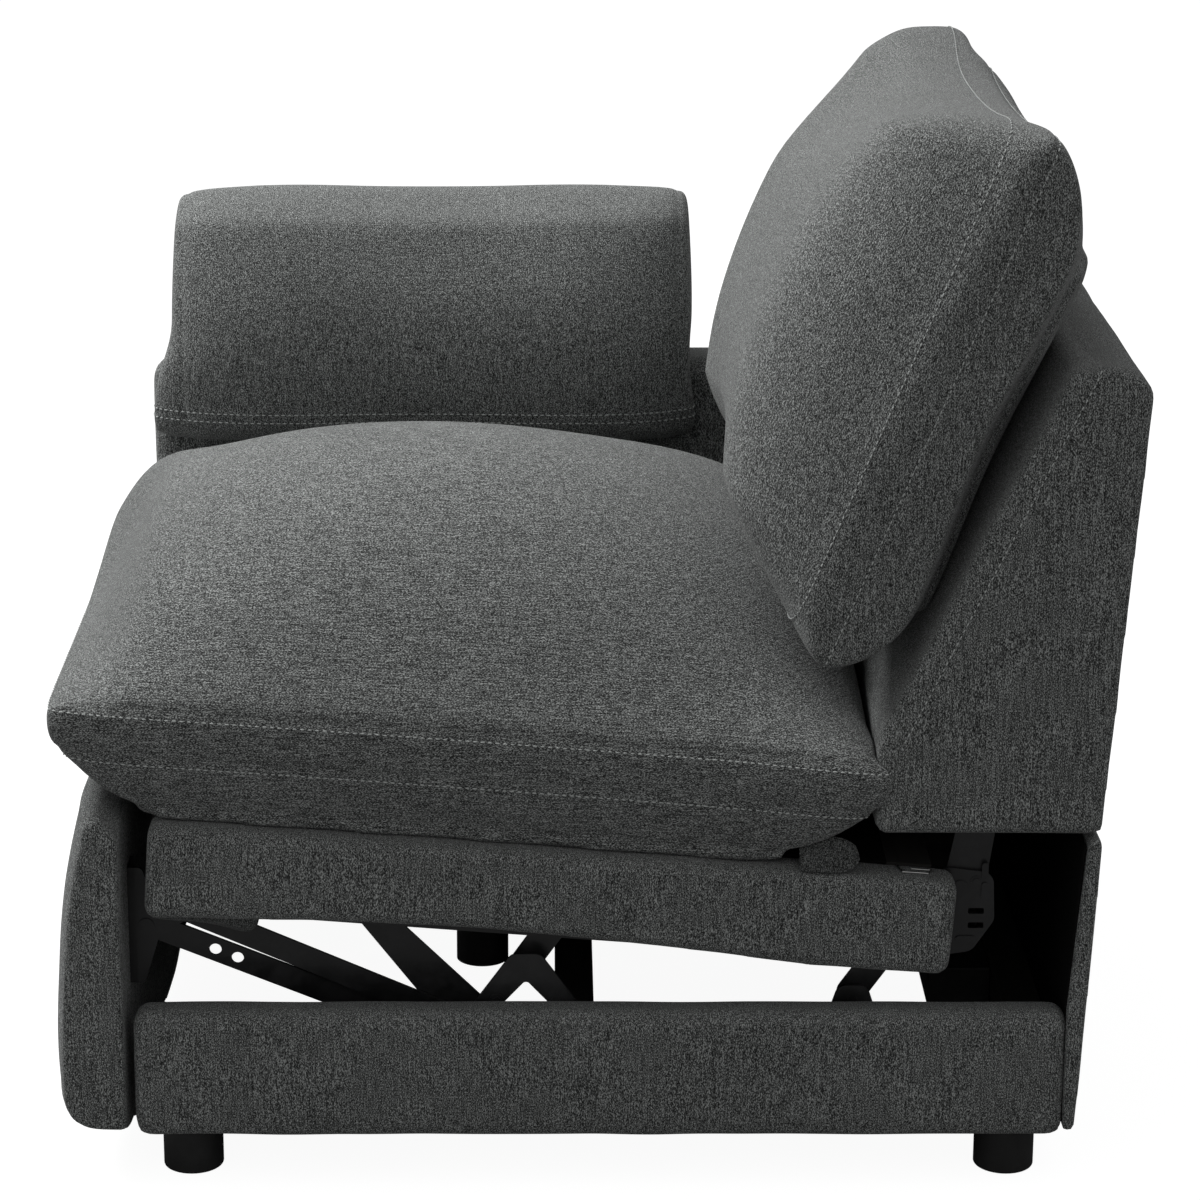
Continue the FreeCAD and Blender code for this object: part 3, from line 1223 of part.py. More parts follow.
def post_line():
    """Foot of the back post and its direction, in side view."""
    foot_middle = point("hinge_y + post_back", "back_bottom_z + post_lift")
    lean = math.tan(math.radians(value("post_lean")))
    return foot_middle, Vector(lean, 1, 0)


def back_post(name, side):
    """Wooden post inside a wing that carries the hinge bracket."""
    foot_middle, upward = post_line()
    head_middle = foot_middle + upward * value("post_height")
    across = Vector(value("post_width / 2"), 0, 0)
    corner = value("post_width / 24")
    body = document.addObject("PartDesign::Body", name)
    corners = (foot_middle - across, foot_middle + across, head_middle + across, head_middle - across)
    sketch = sketch_on(body, "YZ_Plane", (rounded([(place, corner) for place in corners]),))
    inner = f"mid_x + ( {SWING_LAYER} )" if side > 0 else WING_INNER_X[0]
    outer = WING_INNER_X[1] if side > 0 else f"mid_x - ( {SWING_LAYER} )"
    pad_on(body, sketch, f"( {outer} ) - ( {inner} )")
    bind(body, "Placement.Base.x", inner)
    return body


pair("back_posts", back_post)


def back_bracket(name, side):
    """Steel arm from the recline pivot up the inner face of the post."""
    hinge = point("hinge_y", "hinge_z")
    radius = value(HINGE_RADIUS)
    foot_middle, upward = post_line()
    reach = value("bracket_reach")
    head = foot_middle + upward * reach
    half = Vector(value("bracket_width / 2"), 0, 0)
    outline = rounded([
        (hinge + Vector(-radius, -radius, 0), radius * 0.9),
        (hinge + Vector(radius, -radius, 0), radius * 0.9),
        (foot_middle + half, radius), (head + half, radius * 0.3), (head - half, radius * 0.3),
        (foot_middle - half, radius),
    ])
    holes = [(hinge, PIN_HOLE)]
    for share in (0.3, 0.8):
        holes.append((foot_middle + upward * (share * reach), "pin_radius"))
    return plate(name, (outline,), holes, SWING_LAYER, side)


pair("back_brackets", back_bracket)


def back_cushion():
    """Plump cushion on the leaning front of the back: boxed ends, deep front, sinking top edge."""
    width = value(f"( {BACK_X[1]} ) - ( {BACK_X[0]} ) - soft_gap * 8")
    start = value("pillow_start")
    height = value("pillow_height")
    box = value("pillow_box")
    crown = value("pillow_crown")
    saddle = value("pillow_saddle")
    arch = value("pillow_arch")
    wires = []
    for station in (0.0, 0.02, 0.06, 0.13, 0.25, 0.5, 0.75, 0.87, 0.94, 0.98, 1.0):
        bow = math.sin(math.pi * station)
        pinch = 1 - min(1, min(station, 1 - station) / 0.2)
        swell = crown * (0.1 + 0.9 * (1 - pinch ** 2.2))
        low = start + box * 0.08 * pinch ** 2 + arch * bow
        top = start + height - saddle * bow - box * 0.06 * pinch ** 3
        low_seam = box * (0.72 + 0.2 * (1 - pinch ** 2))
        back = box * 0.22 * pinch ** 2.5

        def place(along, away):
            return Vector(station * width, along, away)

        tail = place(low + box * 0.6, back)
        nape = place(top - box, back)
        crest = place(top, box)
        shoulder = place(top - box * 0.44, box + swell * 0.9)
        belly = place((low + top) * 0.5, box + swell)
        waist = place(low + box * 0.72, box + swell * 0.78)
        toe = place(low, low_seam)
        wires.append(closed_wire([
            Part.LineSegment(tail, nape),
            Part.Arc(nape, place(top - box * 0.3, (back + box) * 0.4), crest),
            Part.Arc(crest, place(top - box * 0.11, box + swell * 0.53), shoulder),
            Part.Arc(shoulder, belly, waist),
            Part.Arc(waist, place(low + box * 0.22, box * 0.9 + swell * 0.42), toe),
            Part.Arc(toe, place(low + box * 0.16, (back + low_seam) * 0.42), tail),
        ]))
    cushion = Part.makeLoft(wires, True, False)
    cushion.translate(Vector(0, 0, value("soft_gap") - cushion.optimalBoundingBox().ZMin))
    corner = Vector(value(f"{BACK_X[0]} + soft_gap * 4"), value("back_front_y"), value("back_knee_z"))
    turn = Rotation(Vector(1, 0, 0), 90 - value("back_front_lean"))
    cushion.Placement = Placement(corner, turn) * cushion.Placement
    return feature("back_cushion", cushion)


back_cushion()


def arm_pillow():
    """Pillow over the arm: full roll on top and a lip that hangs down the inner face."""
    arm_top = value("arm_top_z + soft_gap")
    inner_face = value("arm_x + soft_gap")
    outer = value("arm_out_x + soft_gap * 8")
    front = value("arm_pillow_front_y")
    length = value("arm_pillow_length")
    rise = value("arm_pillow_rise")
    lip = value("arm_pillow_lip")
    proud = value("arm_pillow_proud")
    lean = value("arm_pillow_lean")
    wires = []
    for station in (0.0, 0.03, 0.12, 0.35, 0.65, 0.88, 0.97, 1.0):
        pinch = 1 - min(1, min(station, 1 - station) / 0.12)
        bow = math.sin(math.pi * station)
        shrink = rise * 0.06 * pinch ** 2
        top = arm_top + rise * (0.976 + 0.024 * bow) - shrink
        inner = inner_face + proud * (1 - 0.45 * pinch ** 2)
        low = arm_top - lip + shrink * 0.6
        y = front + station * length
        draw = lean * (1 - 2 * station)

        def place(x, z):
            return Vector(x, y + draw * (z - low) / (top - low), z)

        corner = place(inner_face, arm_top)
        edge = place(outer + shrink, arm_top)
        hem = place(inner_face, low)
        turn = place(inner - proud * 0.1, low + lip * 0.22)
        cheek = place(inner - proud * 0.6, top - rise * 0.13)
        brow = place(outer + rise * 0.24, top - rise * 0.16)
        wires.append(closed_wire([
            Part.LineSegment(edge, corner), Part.LineSegment(corner, hem),
            Part.Arc(hem, place((inner_face + inner) / 2, low - lip * 0.1), turn),
            Part.Arc(turn, place(inner, (low + top) / 2 - rise * 0.12), cheek),
            Part.Arc(cheek, place((inner + outer) / 2 - rise * 0.05, top), brow),
            Part.Arc(brow, place(outer + rise * 0.01 + shrink, (arm_top + top) / 2), edge),
        ]))
    return feature("arm_pillow", Part.makeLoft(wires, True, False))


arm_pillow()


def spring_clip():
    """Bright wire clip that lies on top of the near seat rail, under the rear of the cushion."""
    wire = value("clip_wire")
    end = value("seat_rail_length - seat_rail_round * 2")
    up = value("seat_rail_height + clip_wire * 0.65")
    x = value(f"{RAIL_X[1][1]} - seat_rail_round - clip_wire * 4")
    line = []
    for across, back in ((-7, 15), (0, 13), (0, 2), (-4.5, 0), (-4.5, 9)):
        place = tilted(end - back * wire, up)
        line.append(Vector(x + across * wire, place.x, place.y))
    path = Part.makePolygon(line)
    circle = Part.Wire(Part.makeCircle(wire / 2, line[0], line[1] - line[0]))
    shell = Part.BRepOffsetAPI.MakePipeShell(path)
    shell.setTransitionMode(1)
    shell.add(circle)
    shell.build()
    shell.makeSolid()
    return feature("spring_clip", shell.shape())


spring_clip()

# Every object has to be up to date and every sub-part sound before anything is written
document.recompute()
for thing in document.Objects:
    if "Invalid" in thing.State or "Error" in thing.State:
        raise RuntimeError(f"{thing.Label} did not recompute")
    if hasattr(thing, "Shape") and not thing.Shape.isNull() and not thing.Shape.isValid():
        raise RuntimeError(f"{thing.Label} has an unsound shape")
for node in NODES:
    if node.Shape.isNull() or not node.Shape.isValid() or not node.Shape.Solids:
        raise RuntimeError(f"{node.Label} has no sound solid")

os.makedirs("parts", exist_ok=True)
for node in NODES:
    node.Shape.exportStep(f"parts/{node.Label}.step")
whole = Part.makeCompound([node.Shape for node in NODES])
box = whole.BoundBox
print(f"{len(NODES)} nodes, box {box.XLength:.1f} by {box.YLength:.1f} by {box.ZLength:.1f}")
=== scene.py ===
# %% [markdown]
# # Dressing a modular power recliner
#
# The CAD frame holds the sizes, the joints and the hard parts of a one-armed recliner module. What the eye
# meets first is cloth: a heathered charcoal weave over foam. This lesson keeps the frame as it is and puts
# the soft pieces, the seams and the finishes over it, in metres, with +Z up.

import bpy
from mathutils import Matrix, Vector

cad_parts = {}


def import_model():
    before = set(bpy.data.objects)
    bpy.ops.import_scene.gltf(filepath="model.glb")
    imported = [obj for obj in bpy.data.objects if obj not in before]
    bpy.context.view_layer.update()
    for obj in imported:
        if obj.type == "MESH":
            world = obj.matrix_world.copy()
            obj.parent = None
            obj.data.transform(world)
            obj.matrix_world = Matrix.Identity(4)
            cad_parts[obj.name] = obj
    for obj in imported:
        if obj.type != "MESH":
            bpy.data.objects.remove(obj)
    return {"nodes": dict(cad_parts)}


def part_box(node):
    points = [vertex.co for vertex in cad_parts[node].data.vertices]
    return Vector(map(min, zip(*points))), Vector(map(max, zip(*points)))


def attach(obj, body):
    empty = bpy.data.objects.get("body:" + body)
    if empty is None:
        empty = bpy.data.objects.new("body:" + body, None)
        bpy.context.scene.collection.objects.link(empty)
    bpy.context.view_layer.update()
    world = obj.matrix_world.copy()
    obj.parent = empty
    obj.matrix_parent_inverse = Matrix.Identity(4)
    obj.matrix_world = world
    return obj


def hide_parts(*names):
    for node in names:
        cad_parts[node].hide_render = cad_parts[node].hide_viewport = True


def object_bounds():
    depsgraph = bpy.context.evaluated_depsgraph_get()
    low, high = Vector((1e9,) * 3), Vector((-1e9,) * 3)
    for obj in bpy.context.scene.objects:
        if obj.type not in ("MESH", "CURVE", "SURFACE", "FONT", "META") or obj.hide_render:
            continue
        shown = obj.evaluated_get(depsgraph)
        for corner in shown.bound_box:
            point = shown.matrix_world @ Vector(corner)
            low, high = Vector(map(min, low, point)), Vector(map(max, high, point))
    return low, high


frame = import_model()
CAD_LOW, CAD_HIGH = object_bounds()
print("CAD box", [round(high - low, 3) for low, high in zip(CAD_LOW, CAD_HIGH)])

# %% [markdown]
# ## Tools for working on meshes
#
# Cloth work moves many points at once, so the points are read into arrays, changed there and written back.
# A CAD node is loose triangles, so a copy is merged before anything else happens to it.

# %% Read, write and copy meshes
import math

import bmesh
import bpy
import numpy as np
from mathutils import Vector, noise
from mathutils.bvhtree import BVHTree

MM = 0.001
MERGE = 0.02 * MM
scene = bpy.context.scene


def points_of(mesh):
    flat = np.empty(len(mesh.vertices) * 3)
    mesh.vertices.foreach_get("co", flat)
    return flat.reshape(-1, 3)


def normals_of(mesh):
    flat = np.empty(len(mesh.vertices) * 3)
    mesh.vertices.foreach_get("normal", flat)
    return flat.reshape(-1, 3)


def set_points(mesh, points):
    mesh.vertices.foreach_set("co", np.asarray(points, dtype=np.float32).ravel())
    mesh.update()


def new_piece(name, mesh):
    piece = bpy.data.objects.new(name, mesh)
    scene.collection.objects.link(piece)
    return piece


def copy_of(name, nodes):
    """One piece made from merged copies of CAD nodes."""
    joined = bmesh.new()
    for node in nodes:
        joined.from_mesh(frame["nodes"][node].data)
    bmesh.ops.remove_doubles(joined, verts=joined.verts, dist=MERGE)
    mesh = bpy.data.meshes.new(name)
    joined.to_mesh(mesh)
    joined.free()
    return new_piece(name, mesh)


def applied(piece):
    """Turn a piece's modifiers into plain mesh."""
    graph = bpy.context.evaluated_depsgraph_get()
    mesh = bpy.data.meshes.new_from_object(piece.evaluated_get(graph))
    piece.modifiers.clear()
    piece.data = mesh
    return piece


def remeshed(piece, voxel, rounds):
    """An even grid of small faces, with its edges eased by rounds of smoothing."""
    grid = piece.modifiers.new("grid", "REMESH")
    grid.mode = "VOXEL"
    grid.voxel_size = voxel
    if rounds:
        ease = piece.modifiers.new("ease", "SMOOTH")
        ease.factor = 0.5
        ease.iterations = rounds
    return applied(piece)


def subdivided(piece):
    finer = piece.modifiers.new("finer", "SUBSURF")
    finer.levels = 1
    finer.render_levels = 1
    return applied(piece)


def smooth_shaded(piece):
    piece.data.polygons.foreach_set("use_smooth", [True] * len(piece.data.polygons))
    return piece


def surface_of(piece):
    """A tree of the faces of a piece, for rays and nearest points."""
    mesh = piece.data
    return BVHTree.FromPolygons([v.co for v in mesh.vertices], [p.vertices for p in mesh.polygons])


# %% [markdown]
# ## The weave
#
# The cover is a heathered chenille: dark and pale fibres spun together, so that the yarns read as salt and
# pepper close up and as even charcoal from a step back. A picture of cloth would tile and blur, so the
# weave is procedural. Sets of fine ridges make warp and weft, a fine noise makes the fibres, one drawn
# out along the grain makes streaks, a broad one makes the cloth a little uneven, and sheen gives the nap.
# Object coordinates keep the yarn the same size on every piece.

# %% Helpers for material nodes


def new_material(name):
    material = bpy.data.materials.new(name)
    material.use_nodes = True
    return material, material.node_tree, material.node_tree.nodes["Principled BSDF"]


def add_node(tree, kind, **inputs):
    node = tree.nodes.new(kind)
    for key, value in inputs.items():
        node.inputs[key.replace("_", " ")].default_value = value
    return node


def object_place(tree, turn=(0, 0, 0), stretch=(1, 1, 1)):
    """Object coordinates, turned and stretched."""
    place = tree.nodes.new("ShaderNodeTexCoord")
    mapping = add_node(tree, "ShaderNodeMapping", Rotation=turn, Scale=stretch)
    tree.links.new(place.outputs["Object"], mapping.inputs["Vector"])
    return mapping.outputs["Vector"]


def noise_of(tree, vector, scale, detail, roughness):
    texture = add_node(tree, "ShaderNodeTexNoise", Scale=scale, Detail=detail, Roughness=roughness)
    tree.links.new(vector, texture.inputs["Vector"])
    return texture.outputs["Fac"]


def ramp_of(tree, factor, stops):
    """A colour ramp through (place, colour) stops."""
    ramp = tree.nodes.new("ShaderNodeValToRGB")
    elements = ramp.color_ramp.elements
    while len(elements) < len(stops):
        elements.new(0.5)
    for element, (place, colour) in zip(elements, stops):
        element.position = place
        element.color = (*colour, 1)
    tree.links.new(factor, ramp.inputs["Fac"])
    return ramp.outputs["Color"]


def maths(tree, operation, first, second):
    node = tree.nodes.new("ShaderNodeMath")
    node.operation = operation
    for socket, value in zip(node.inputs, (first, second)):
        if isinstance(value, (int, float)):
            socket.default_value = value
        else:
            tree.links.new(value, socket)
    return node.outputs["Value"]


def bump_to(tree, shader, height, depth, strength):
    bump = add_node(tree, "ShaderNodeBump", Distance=depth, Strength=strength)
    tree.links.new(height, bump.inputs["Height"])
    tree.links.new(bump.outputs["Normal"], shader.inputs["Normal"])


# %% Weave the upholstery
CHARCOAL = (0.121, 0.1255, 0.123)
FIBRE_SCALE = 1450
YARN_SCALE = 150
YARN_DEPTH = 0.5 * MM
CLOUD_SCALE = 9
FIBRE_STRETCH = 0.45
STREAK_SCALE = 800
STREAK_STRETCH = 0.06
STREAK_SHARE = 0.26
CLOUD_RANGE = (0.9, 1.1)
YARN_SHARE = 0.3
WEFT_SHARE = 0.5
WEAVE_BUMP = 0.75
HEATHER = ((0.36, 0.14), (0.47, 0.7), (0.54, 1.15), (0.66, 3.5))
NAP = {"Roughness": 0.95, "Specular IOR Level": 0.12, "Sheen Weight": 0.12, "Sheen Roughness": 0.45}


def shade(colour, times):
    return tuple(channel * times for channel in colour)


def bands(tree, vector, axis, scale):
    wave = add_node(tree, "ShaderNodeTexWave", Scale=scale, Distortion=0.5, Detail=1.0)
    wave.bands_direction = axis
    tree.links.new(vector, wave.inputs["Vector"])
    return wave.outputs["Fac"]


def weave(name, grain, turn=(0, 0, 0), colour=CHARCOAL):
    """Cloth whose yarns run along one axis, after a turn that follows the piece."""
    material, tree, shader = new_material(name)
    plain = object_place(tree, turn)
    drawn, lengthwise = (object_place(tree, turn, tuple(stretch if axis == grain else 1 for axis in "XYZ"))
                         for stretch in (FIBRE_STRETCH, STREAK_STRETCH))
    fibre = noise_of(tree, drawn, FIBRE_SCALE, 1, 0.5)
    streak = maths(tree, "SUBTRACT", noise_of(tree, lengthwise, STREAK_SCALE, 1, 0.5), 0.5)
    spun = maths(tree, "ADD", fibre, maths(tree, "MULTIPLY", streak, STREAK_SHARE))
    cloud = noise_of(tree, plain, CLOUD_SCALE, 2, 0.5)
    heather = ramp_of(tree, spun, [(place, shade(colour, times)) for place, times in HEATHER])
    level = add_node(tree, "ShaderNodeMapRange")
    level.inputs["To Min"].default_value, level.inputs["To Max"].default_value = CLOUD_RANGE
    tree.links.new(cloud, level.inputs["Value"])
    tint = add_node(tree, "ShaderNodeHueSaturation")
    tree.links.new(heather, tint.inputs["Color"])
    tree.links.new(level.outputs["Result"], tint.inputs["Value"])
    tree.links.new(tint.outputs["Color"], shader.inputs["Base Color"])
    across = [axis for axis in "XYZ" if axis != grain]
    warp = maths(tree, "ADD", *(bands(tree, plain, axis, YARN_SCALE) for axis in across))
    weft = maths(tree, "MULTIPLY", bands(tree, plain, grain, YARN_SCALE), WEFT_SHARE)
    ridges = maths(tree, "MULTIPLY", maths(tree, "ADD", warp, weft), YARN_SHARE)
    bump_to(tree, shader, maths(tree, "ADD", ridges, fibre), YARN_DEPTH, WEAVE_BUMP)
    for key, value in NAP.items():
        shader.inputs[key].default_value = value
    return material


SEAT_DIP = math.radians(4.35)
BACK_LEAN = math.radians(25.5)
upright_cloth = weave("upright_cloth", "Z")
seat_cloth = weave("seat_cloth", "Y", (SEAT_DIP, 0, 0))
back_cloth = weave("back_cloth", "Z", (BACK_LEAN, 0, 0))
# The cover cloth at half brightness is painted shade: it darkens the flap and the tab for the shadow they
# hang in under the seat cushion and the rail.
painted_shade_cloth = weave("painted_shade_cloth", "Z", colour=shade(CHARCOAL, 0.5))
print("weaves", [material.name for material in (upright_cloth, seat_cloth, back_cloth, painted_shade_cloth)])

# %% [markdown]
# ## Finishes for the hard parts
#
# The mechanism is black enamelled steel with zinc plated wire and screws, the feet and boxes are matte
# moulded plastic, the hidden frame is black stained plywood, and black non-woven cloth closes the inside.
# Each gets its own grain, because a flat colour looks like a toy under soft light.

# %% Enamel, zinc, plastic, plywood and lining


def enamel():
    material, tree, shader = new_material("enamel")
    place = object_place(tree)
    peel = noise_of(tree, place, 260, 2, 0.5)
    scuff = noise_of(tree, place, 35, 6, 0.7)
    colour = ramp_of(tree, scuff, ((0.45, (0.009, 0.009, 0.0095)), (0.72, (0.022, 0.022, 0.023))))
    rough = ramp_of(tree, scuff, ((0.4, (0.32,) * 3), (0.7, (0.5,) * 3)))
    tree.links.new(colour, shader.inputs["Base Color"])
    tree.links.new(rough, shader.inputs["Roughness"])
    bump_to(tree, shader, peel, 0.1 * MM, 0.4)
    shader.inputs["Coat Weight"].default_value = 0.15
    return material


def plastic():
    material, tree, shader = new_material("plastic")
    place = object_place(tree)
    grain = noise_of(tree, place, 1100, 2, 0.6)
    wear = noise_of(tree, place, 40, 4, 0.6)
    colour = ramp_of(tree, wear, ((0.4, (0.008, 0.008, 0.008)), (0.75, (0.017, 0.017, 0.017))))
    tree.links.new(colour, shader.inputs["Base Color"])
    shader.inputs["Roughness"].default_value = 0.55
    bump_to(tree, shader, grain, 0.15 * MM, 0.5)
    return material


def plywood():
    material, tree, shader = new_material("plywood")
    place = object_place(tree, stretch=(0.12, 1, 1))
    grain = noise_of(tree, place, 120, 5, 0.65)
    rings = bands(tree, place, "Z", 14)
    figure = maths(tree, "ADD", maths(tree, "MULTIPLY", rings, 0.35), maths(tree, "MULTIPLY", grain, 0.65))
    colour = ramp_of(tree, figure, ((0.3, (0.010, 0.0095, 0.009)), (0.7, (0.028, 0.026, 0.024))))
    tree.links.new(colour, shader.inputs["Base Color"])
    shader.inputs["Roughness"].default_value = 0.8
    bump_to(tree, shader, grain, 0.2 * MM, 0.5)
    return material


def grained(name, grain, stops, depth, strength, stretch=(1, 1, 1), **settings):
    """A finish whose one noise gives both its colour and its relief."""
    material, tree, shader = new_material(name)
    relief = noise_of(tree, object_place(tree, stretch=stretch), *grain)
    tree.links.new(ramp_of(tree, relief, stops), shader.inputs["Base Color"])
    bump_to(tree, shader, relief, depth, strength)
    for key, value in settings.items():
        shader.inputs[key.replace("_", " ")].default_value = value
    return material


ZINC = ((0.3, (0.42, 0.42, 0.41)), (0.7, (0.66, 0.66, 0.65)))
LINING = ((0.35, (0.004, 0.004, 0.004)), (0.7, (0.013, 0.013, 0.013)))
THREAD = ((0.3, shade(CHARCOAL, 3.2)), (0.7, shade(CHARCOAL, 4.8)))
zinc = grained("zinc", (900, 3, 0.6), ZINC, 0.05 * MM, 0.3, (1, 0.1, 1), Metallic=1.0, Roughness=0.32)
lining = grained("lining", (700, 4, 0.7), LINING, 0.4 * MM, 0.6, Roughness=1.0, Specular_IOR_Level=0.05)
thread = grained("yarn", (1500, 2, 0.6), THREAD, 0.2 * MM, 0.6, Roughness=0.8)
finishes = {"black_steel": enamel(), "bright_steel": zinc, "black_plastic": plastic(),
            "frame_wood": plywood(), "deck_cloth": lining, "upholstery": upright_cloth}
for name, node in frame["nodes"].items():
    slot_name = node.data.materials[0].name.split(".")[0]
    node.data.materials[0] = finishes[slot_name]
print("finishes", sorted(finishes), "over", len(frame["nodes"]), "nodes")

# %% [markdown]
# ## Covered hard parts
#
# Rails, arm, back and rear panel are boards under thin foam and cloth. Their edges are soft and their faces
# are never quite flat. Copies of the CAD solids are cut into an even grid, their edges are eased, and a slow
# noise of less than a millimetre makes the cloth lie as it does over foam. The cloth itself adds a little
# more than half a millimetre.

# %% Cover the rails, arm, rear panel and back
COVER_VOXEL = 5 * MM
RAIL_VOXEL = 4 * MM
COVER_ROUNDS = 1
COVER_PUFF = 0.6 * MM
HEM_ROUND = 13 * MM
HEM_SHARE = 0.75
LEAST_LEVEL = 0.1
REAR_FILL = 4 * MM
RAIL_ARCH = 12 * MM
ARM_FALL = 32 * MM
FOAM_WAVE = 70 * MM
FOAM_HEIGHT = 0.8 * MM


def uneven(piece, size, height):
    """Move each point along its normal by slow noise."""
    points = points_of(piece.data)
    normals = normals_of(piece.data)
    lift = np.array([noise.noise(Vector(point) / size) for point in points])
    set_points(piece.data, points + normals * (COVER_PUFF + lift * height)[:, None])


def dressed(piece, body, nodes, cloth):
    piece.data.materials.clear()
    piece.data.materials.append(cloth)
    smooth_shaded(piece)
    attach(piece, body)
    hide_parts(*nodes)
    print(piece.name, len(piece.data.polygons), "faces")
    return piece


def eased(share):
    """A smooth step from 0 to 1."""
    share = np.clip(share, 0, 1)
    return share * share * (3 - 2 * share)


def after(value, start, reach):
    """0 up to the start, 1 once the reach is past."""
    return eased((value - start) / reach)


def before(value, end, reach):
    """0 from the end on, 1 where the reach lies between."""
    return eased((end - value) / reach)


def bump(value, middle, width):
    """A smooth hill of height 1."""
    return np.exp(-((value - middle) / width) ** 2)


def hem_squared(piece):
    """Draw the cloth tight round the lower edge, as a stapled hem is."""
    points = points_of(piece.data)
    level = normals_of(piece.data)
    level[:, 2] = 0
    size = np.linalg.norm(level, axis=1)
    level /= np.maximum(size, LEAST_LEVEL)[:, None]
    up = np.clip(points[:, 2] - points[:, 2].min(), 0, HEM_ROUND)
    inset = HEM_ROUND - np.sqrt(HEM_ROUND ** 2 - (HEM_ROUND - up) ** 2)
    set_points(piece.data, points + level * (inset * HEM_SHARE)[:, None])


def covered(name, body, nodes, cloth=upright_cloth, voxel=COVER_VOXEL, hem=False, shaped=None):
    """A cover over CAD nodes, with a tight hem or a change of shape where asked for."""
    piece = remeshed(copy_of(name, nodes), voxel, COVER_ROUNDS)
    uneven(piece, FOAM_WAVE, FOAM_HEIGHT)
    if hem:
        hem_squared(piece)
    if shaped:
        set_points(piece.data, shaped(points_of(piece.data)))
    return dressed(piece, body, nodes, cloth)


arm_low, arm_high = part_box("arm_frame")
arm_face = arm_high.x
arm_top = arm_high.z
rail_low, rail_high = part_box("seat_rail_near")
panel_low, panel_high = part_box("rear_panel")
wing_low, wing_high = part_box("back_wing_near")
SEAT_MIDDLE = 0.261
TOP_TURN = 40 * MM
ARM_PADDING = 150 * MM
ARCH_SHARE = 0.82
ARCH_REACH = 40 * MM
WING_PADDING = 14 * MM


def rear_edge():
    """A point on the rear edge of a wing, and the direction that points out of it."""
    edge = points_of(frame["nodes"]["back_wing_near"].data)
    low_band = edge[edge[:, 2] < wing_low.z + TOP_TURN]
    foot = low_band[low_band[:, 1].argmax()]
    head = edge[edge[:, 1].argmax()]
    along = Vector((0, head[1] - foot[1], head[2] - foot[2])).normalized()
    return Vector(foot), Vector((0, along.z, -along.y))


edge_point, edge_out = rear_edge()


def arm_slope(x):
    """How far the arm's top falls towards the outside."""
    return ARM_FALL * before(x, arm_face, arm_face - arm_low.x)


def arm_shape(points):
    """Padding thins towards the outside of the arm's top."""
    weight = after(points[:, 2], arm_top - ARM_PADDING, ARM_PADDING)
    points[:, 2] -= arm_slope(points[:, 0]) * weight
    return points


def rail_shape(points):
    """The lower edge of the seat rail is drawn up between its ends."""
    along = np.clip((points[:, 1] - rail_low.y) / (ARCH_SHARE * (rail_high.y - rail_low.y)), 0, 1)
    down = before(points[:, 2] + points[:, 1] * math.tan(SEAT_DIP), SEAT_MIDDLE, ARCH_REACH)
    points[:, 2] += RAIL_ARCH * np.sin(math.pi * along) * down
    return points


def rear_shape(points):
    """Padding behind the rear panel."""
    points[:, 1] += REAR_FILL * after(points[:, 1], panel_low.y, panel_high.y - panel_low.y)
    return points


def back_shape(points):
    """Padding behind the wings and the rear of the back."""
    inside = (np.array(edge_point) - points) @ np.array(edge_out)
    points += np.outer(REAR_FILL * before(inside, WING_PADDING, WING_PADDING), np.array(edge_out))
    return points


BACK_NODES = ("back_wing_near", "back_wing_far", "back_rear_panel", "back_top_rail", "back_front_panel",
              "back_lower_panel")
covered("base_rail_cover", "base", ("base_rail_near",), voxel=RAIL_VOXEL, hem=True)
covered("rear_cover", "base", ("rear_panel",), voxel=RAIL_VOXEL, shaped=rear_shape)
covered("arm_cover", "base", ("arm_frame",), hem=True, shaped=arm_shape)
seat_rail_cover = covered("seat_rail_cover", "seat", ("seat_rail_near",), voxel=RAIL_VOXEL, shaped=rail_shape)
covered("far_rail_cover", "seat", ("seat_rail_far",))
back_cover = covered("back_cover", "back", BACK_NODES, shaped=back_shape)

# %% [markdown]
# ## Cushions blown up like cushions
#
# A cushion is a flat cut of cloth held in shape by its filling, so the honest way to its form is to fill it.
# Each CAD cushion is copied, drawn in a little, cut into an even grid and given to the cloth solver with
# pressure inside and no gravity. Points on a seam or on the face that rests on the frame are pinned, so the
# cloth swells between them. How far a point may travel is capped, and a last pass keeps the cushion off its
# neighbours.

# %% The filling
REACH = 45 * MM
FILL_FRAMES = 20
SEAM_REACH = 40 * MM
FILL_PRESSURE = 4.0
SPREAD_ROUNDS = 120
RESTING = 6 * MM
FACE_GAP = 0.3 * MM
TOUCH_GAP = 0.6 * MM
CLOTH = {"quality": 4, "mass": 0.3, "tension_stiffness": 15, "compression_stiffness": 15,
         "shear_stiffness": 8, "bending_stiffness": 0.8, "use_pressure": True,
         "uniform_pressure_force": FILL_PRESSURE, "vertex_group_mass": "held"}


def pinned(piece, held):
    """Put the marked points in the group that the solver holds."""
    group = piece.vertex_groups.new(name="held")
    group.add([int(index) for index in np.flatnonzero(held)], 1.0, "REPLACE")


def spread(mesh, travel):
    """Even out the moves of neighbouring points, so that no crease stays sharp."""
    ends = np.empty(len(mesh.edges) * 2, dtype=np.int64)
    mesh.edges.foreach_get("vertices", ends)
    first, second = ends.reshape(-1, 2).T
    count = np.bincount(ends, minlength=len(travel))[:, None]
    for _ in range(SPREAD_ROUNDS):
        total = np.zeros_like(travel)
        np.add.at(total, first, travel[second])
        np.add.at(total, second, travel[first])
        travel = (travel + total / count) / 2
    return travel


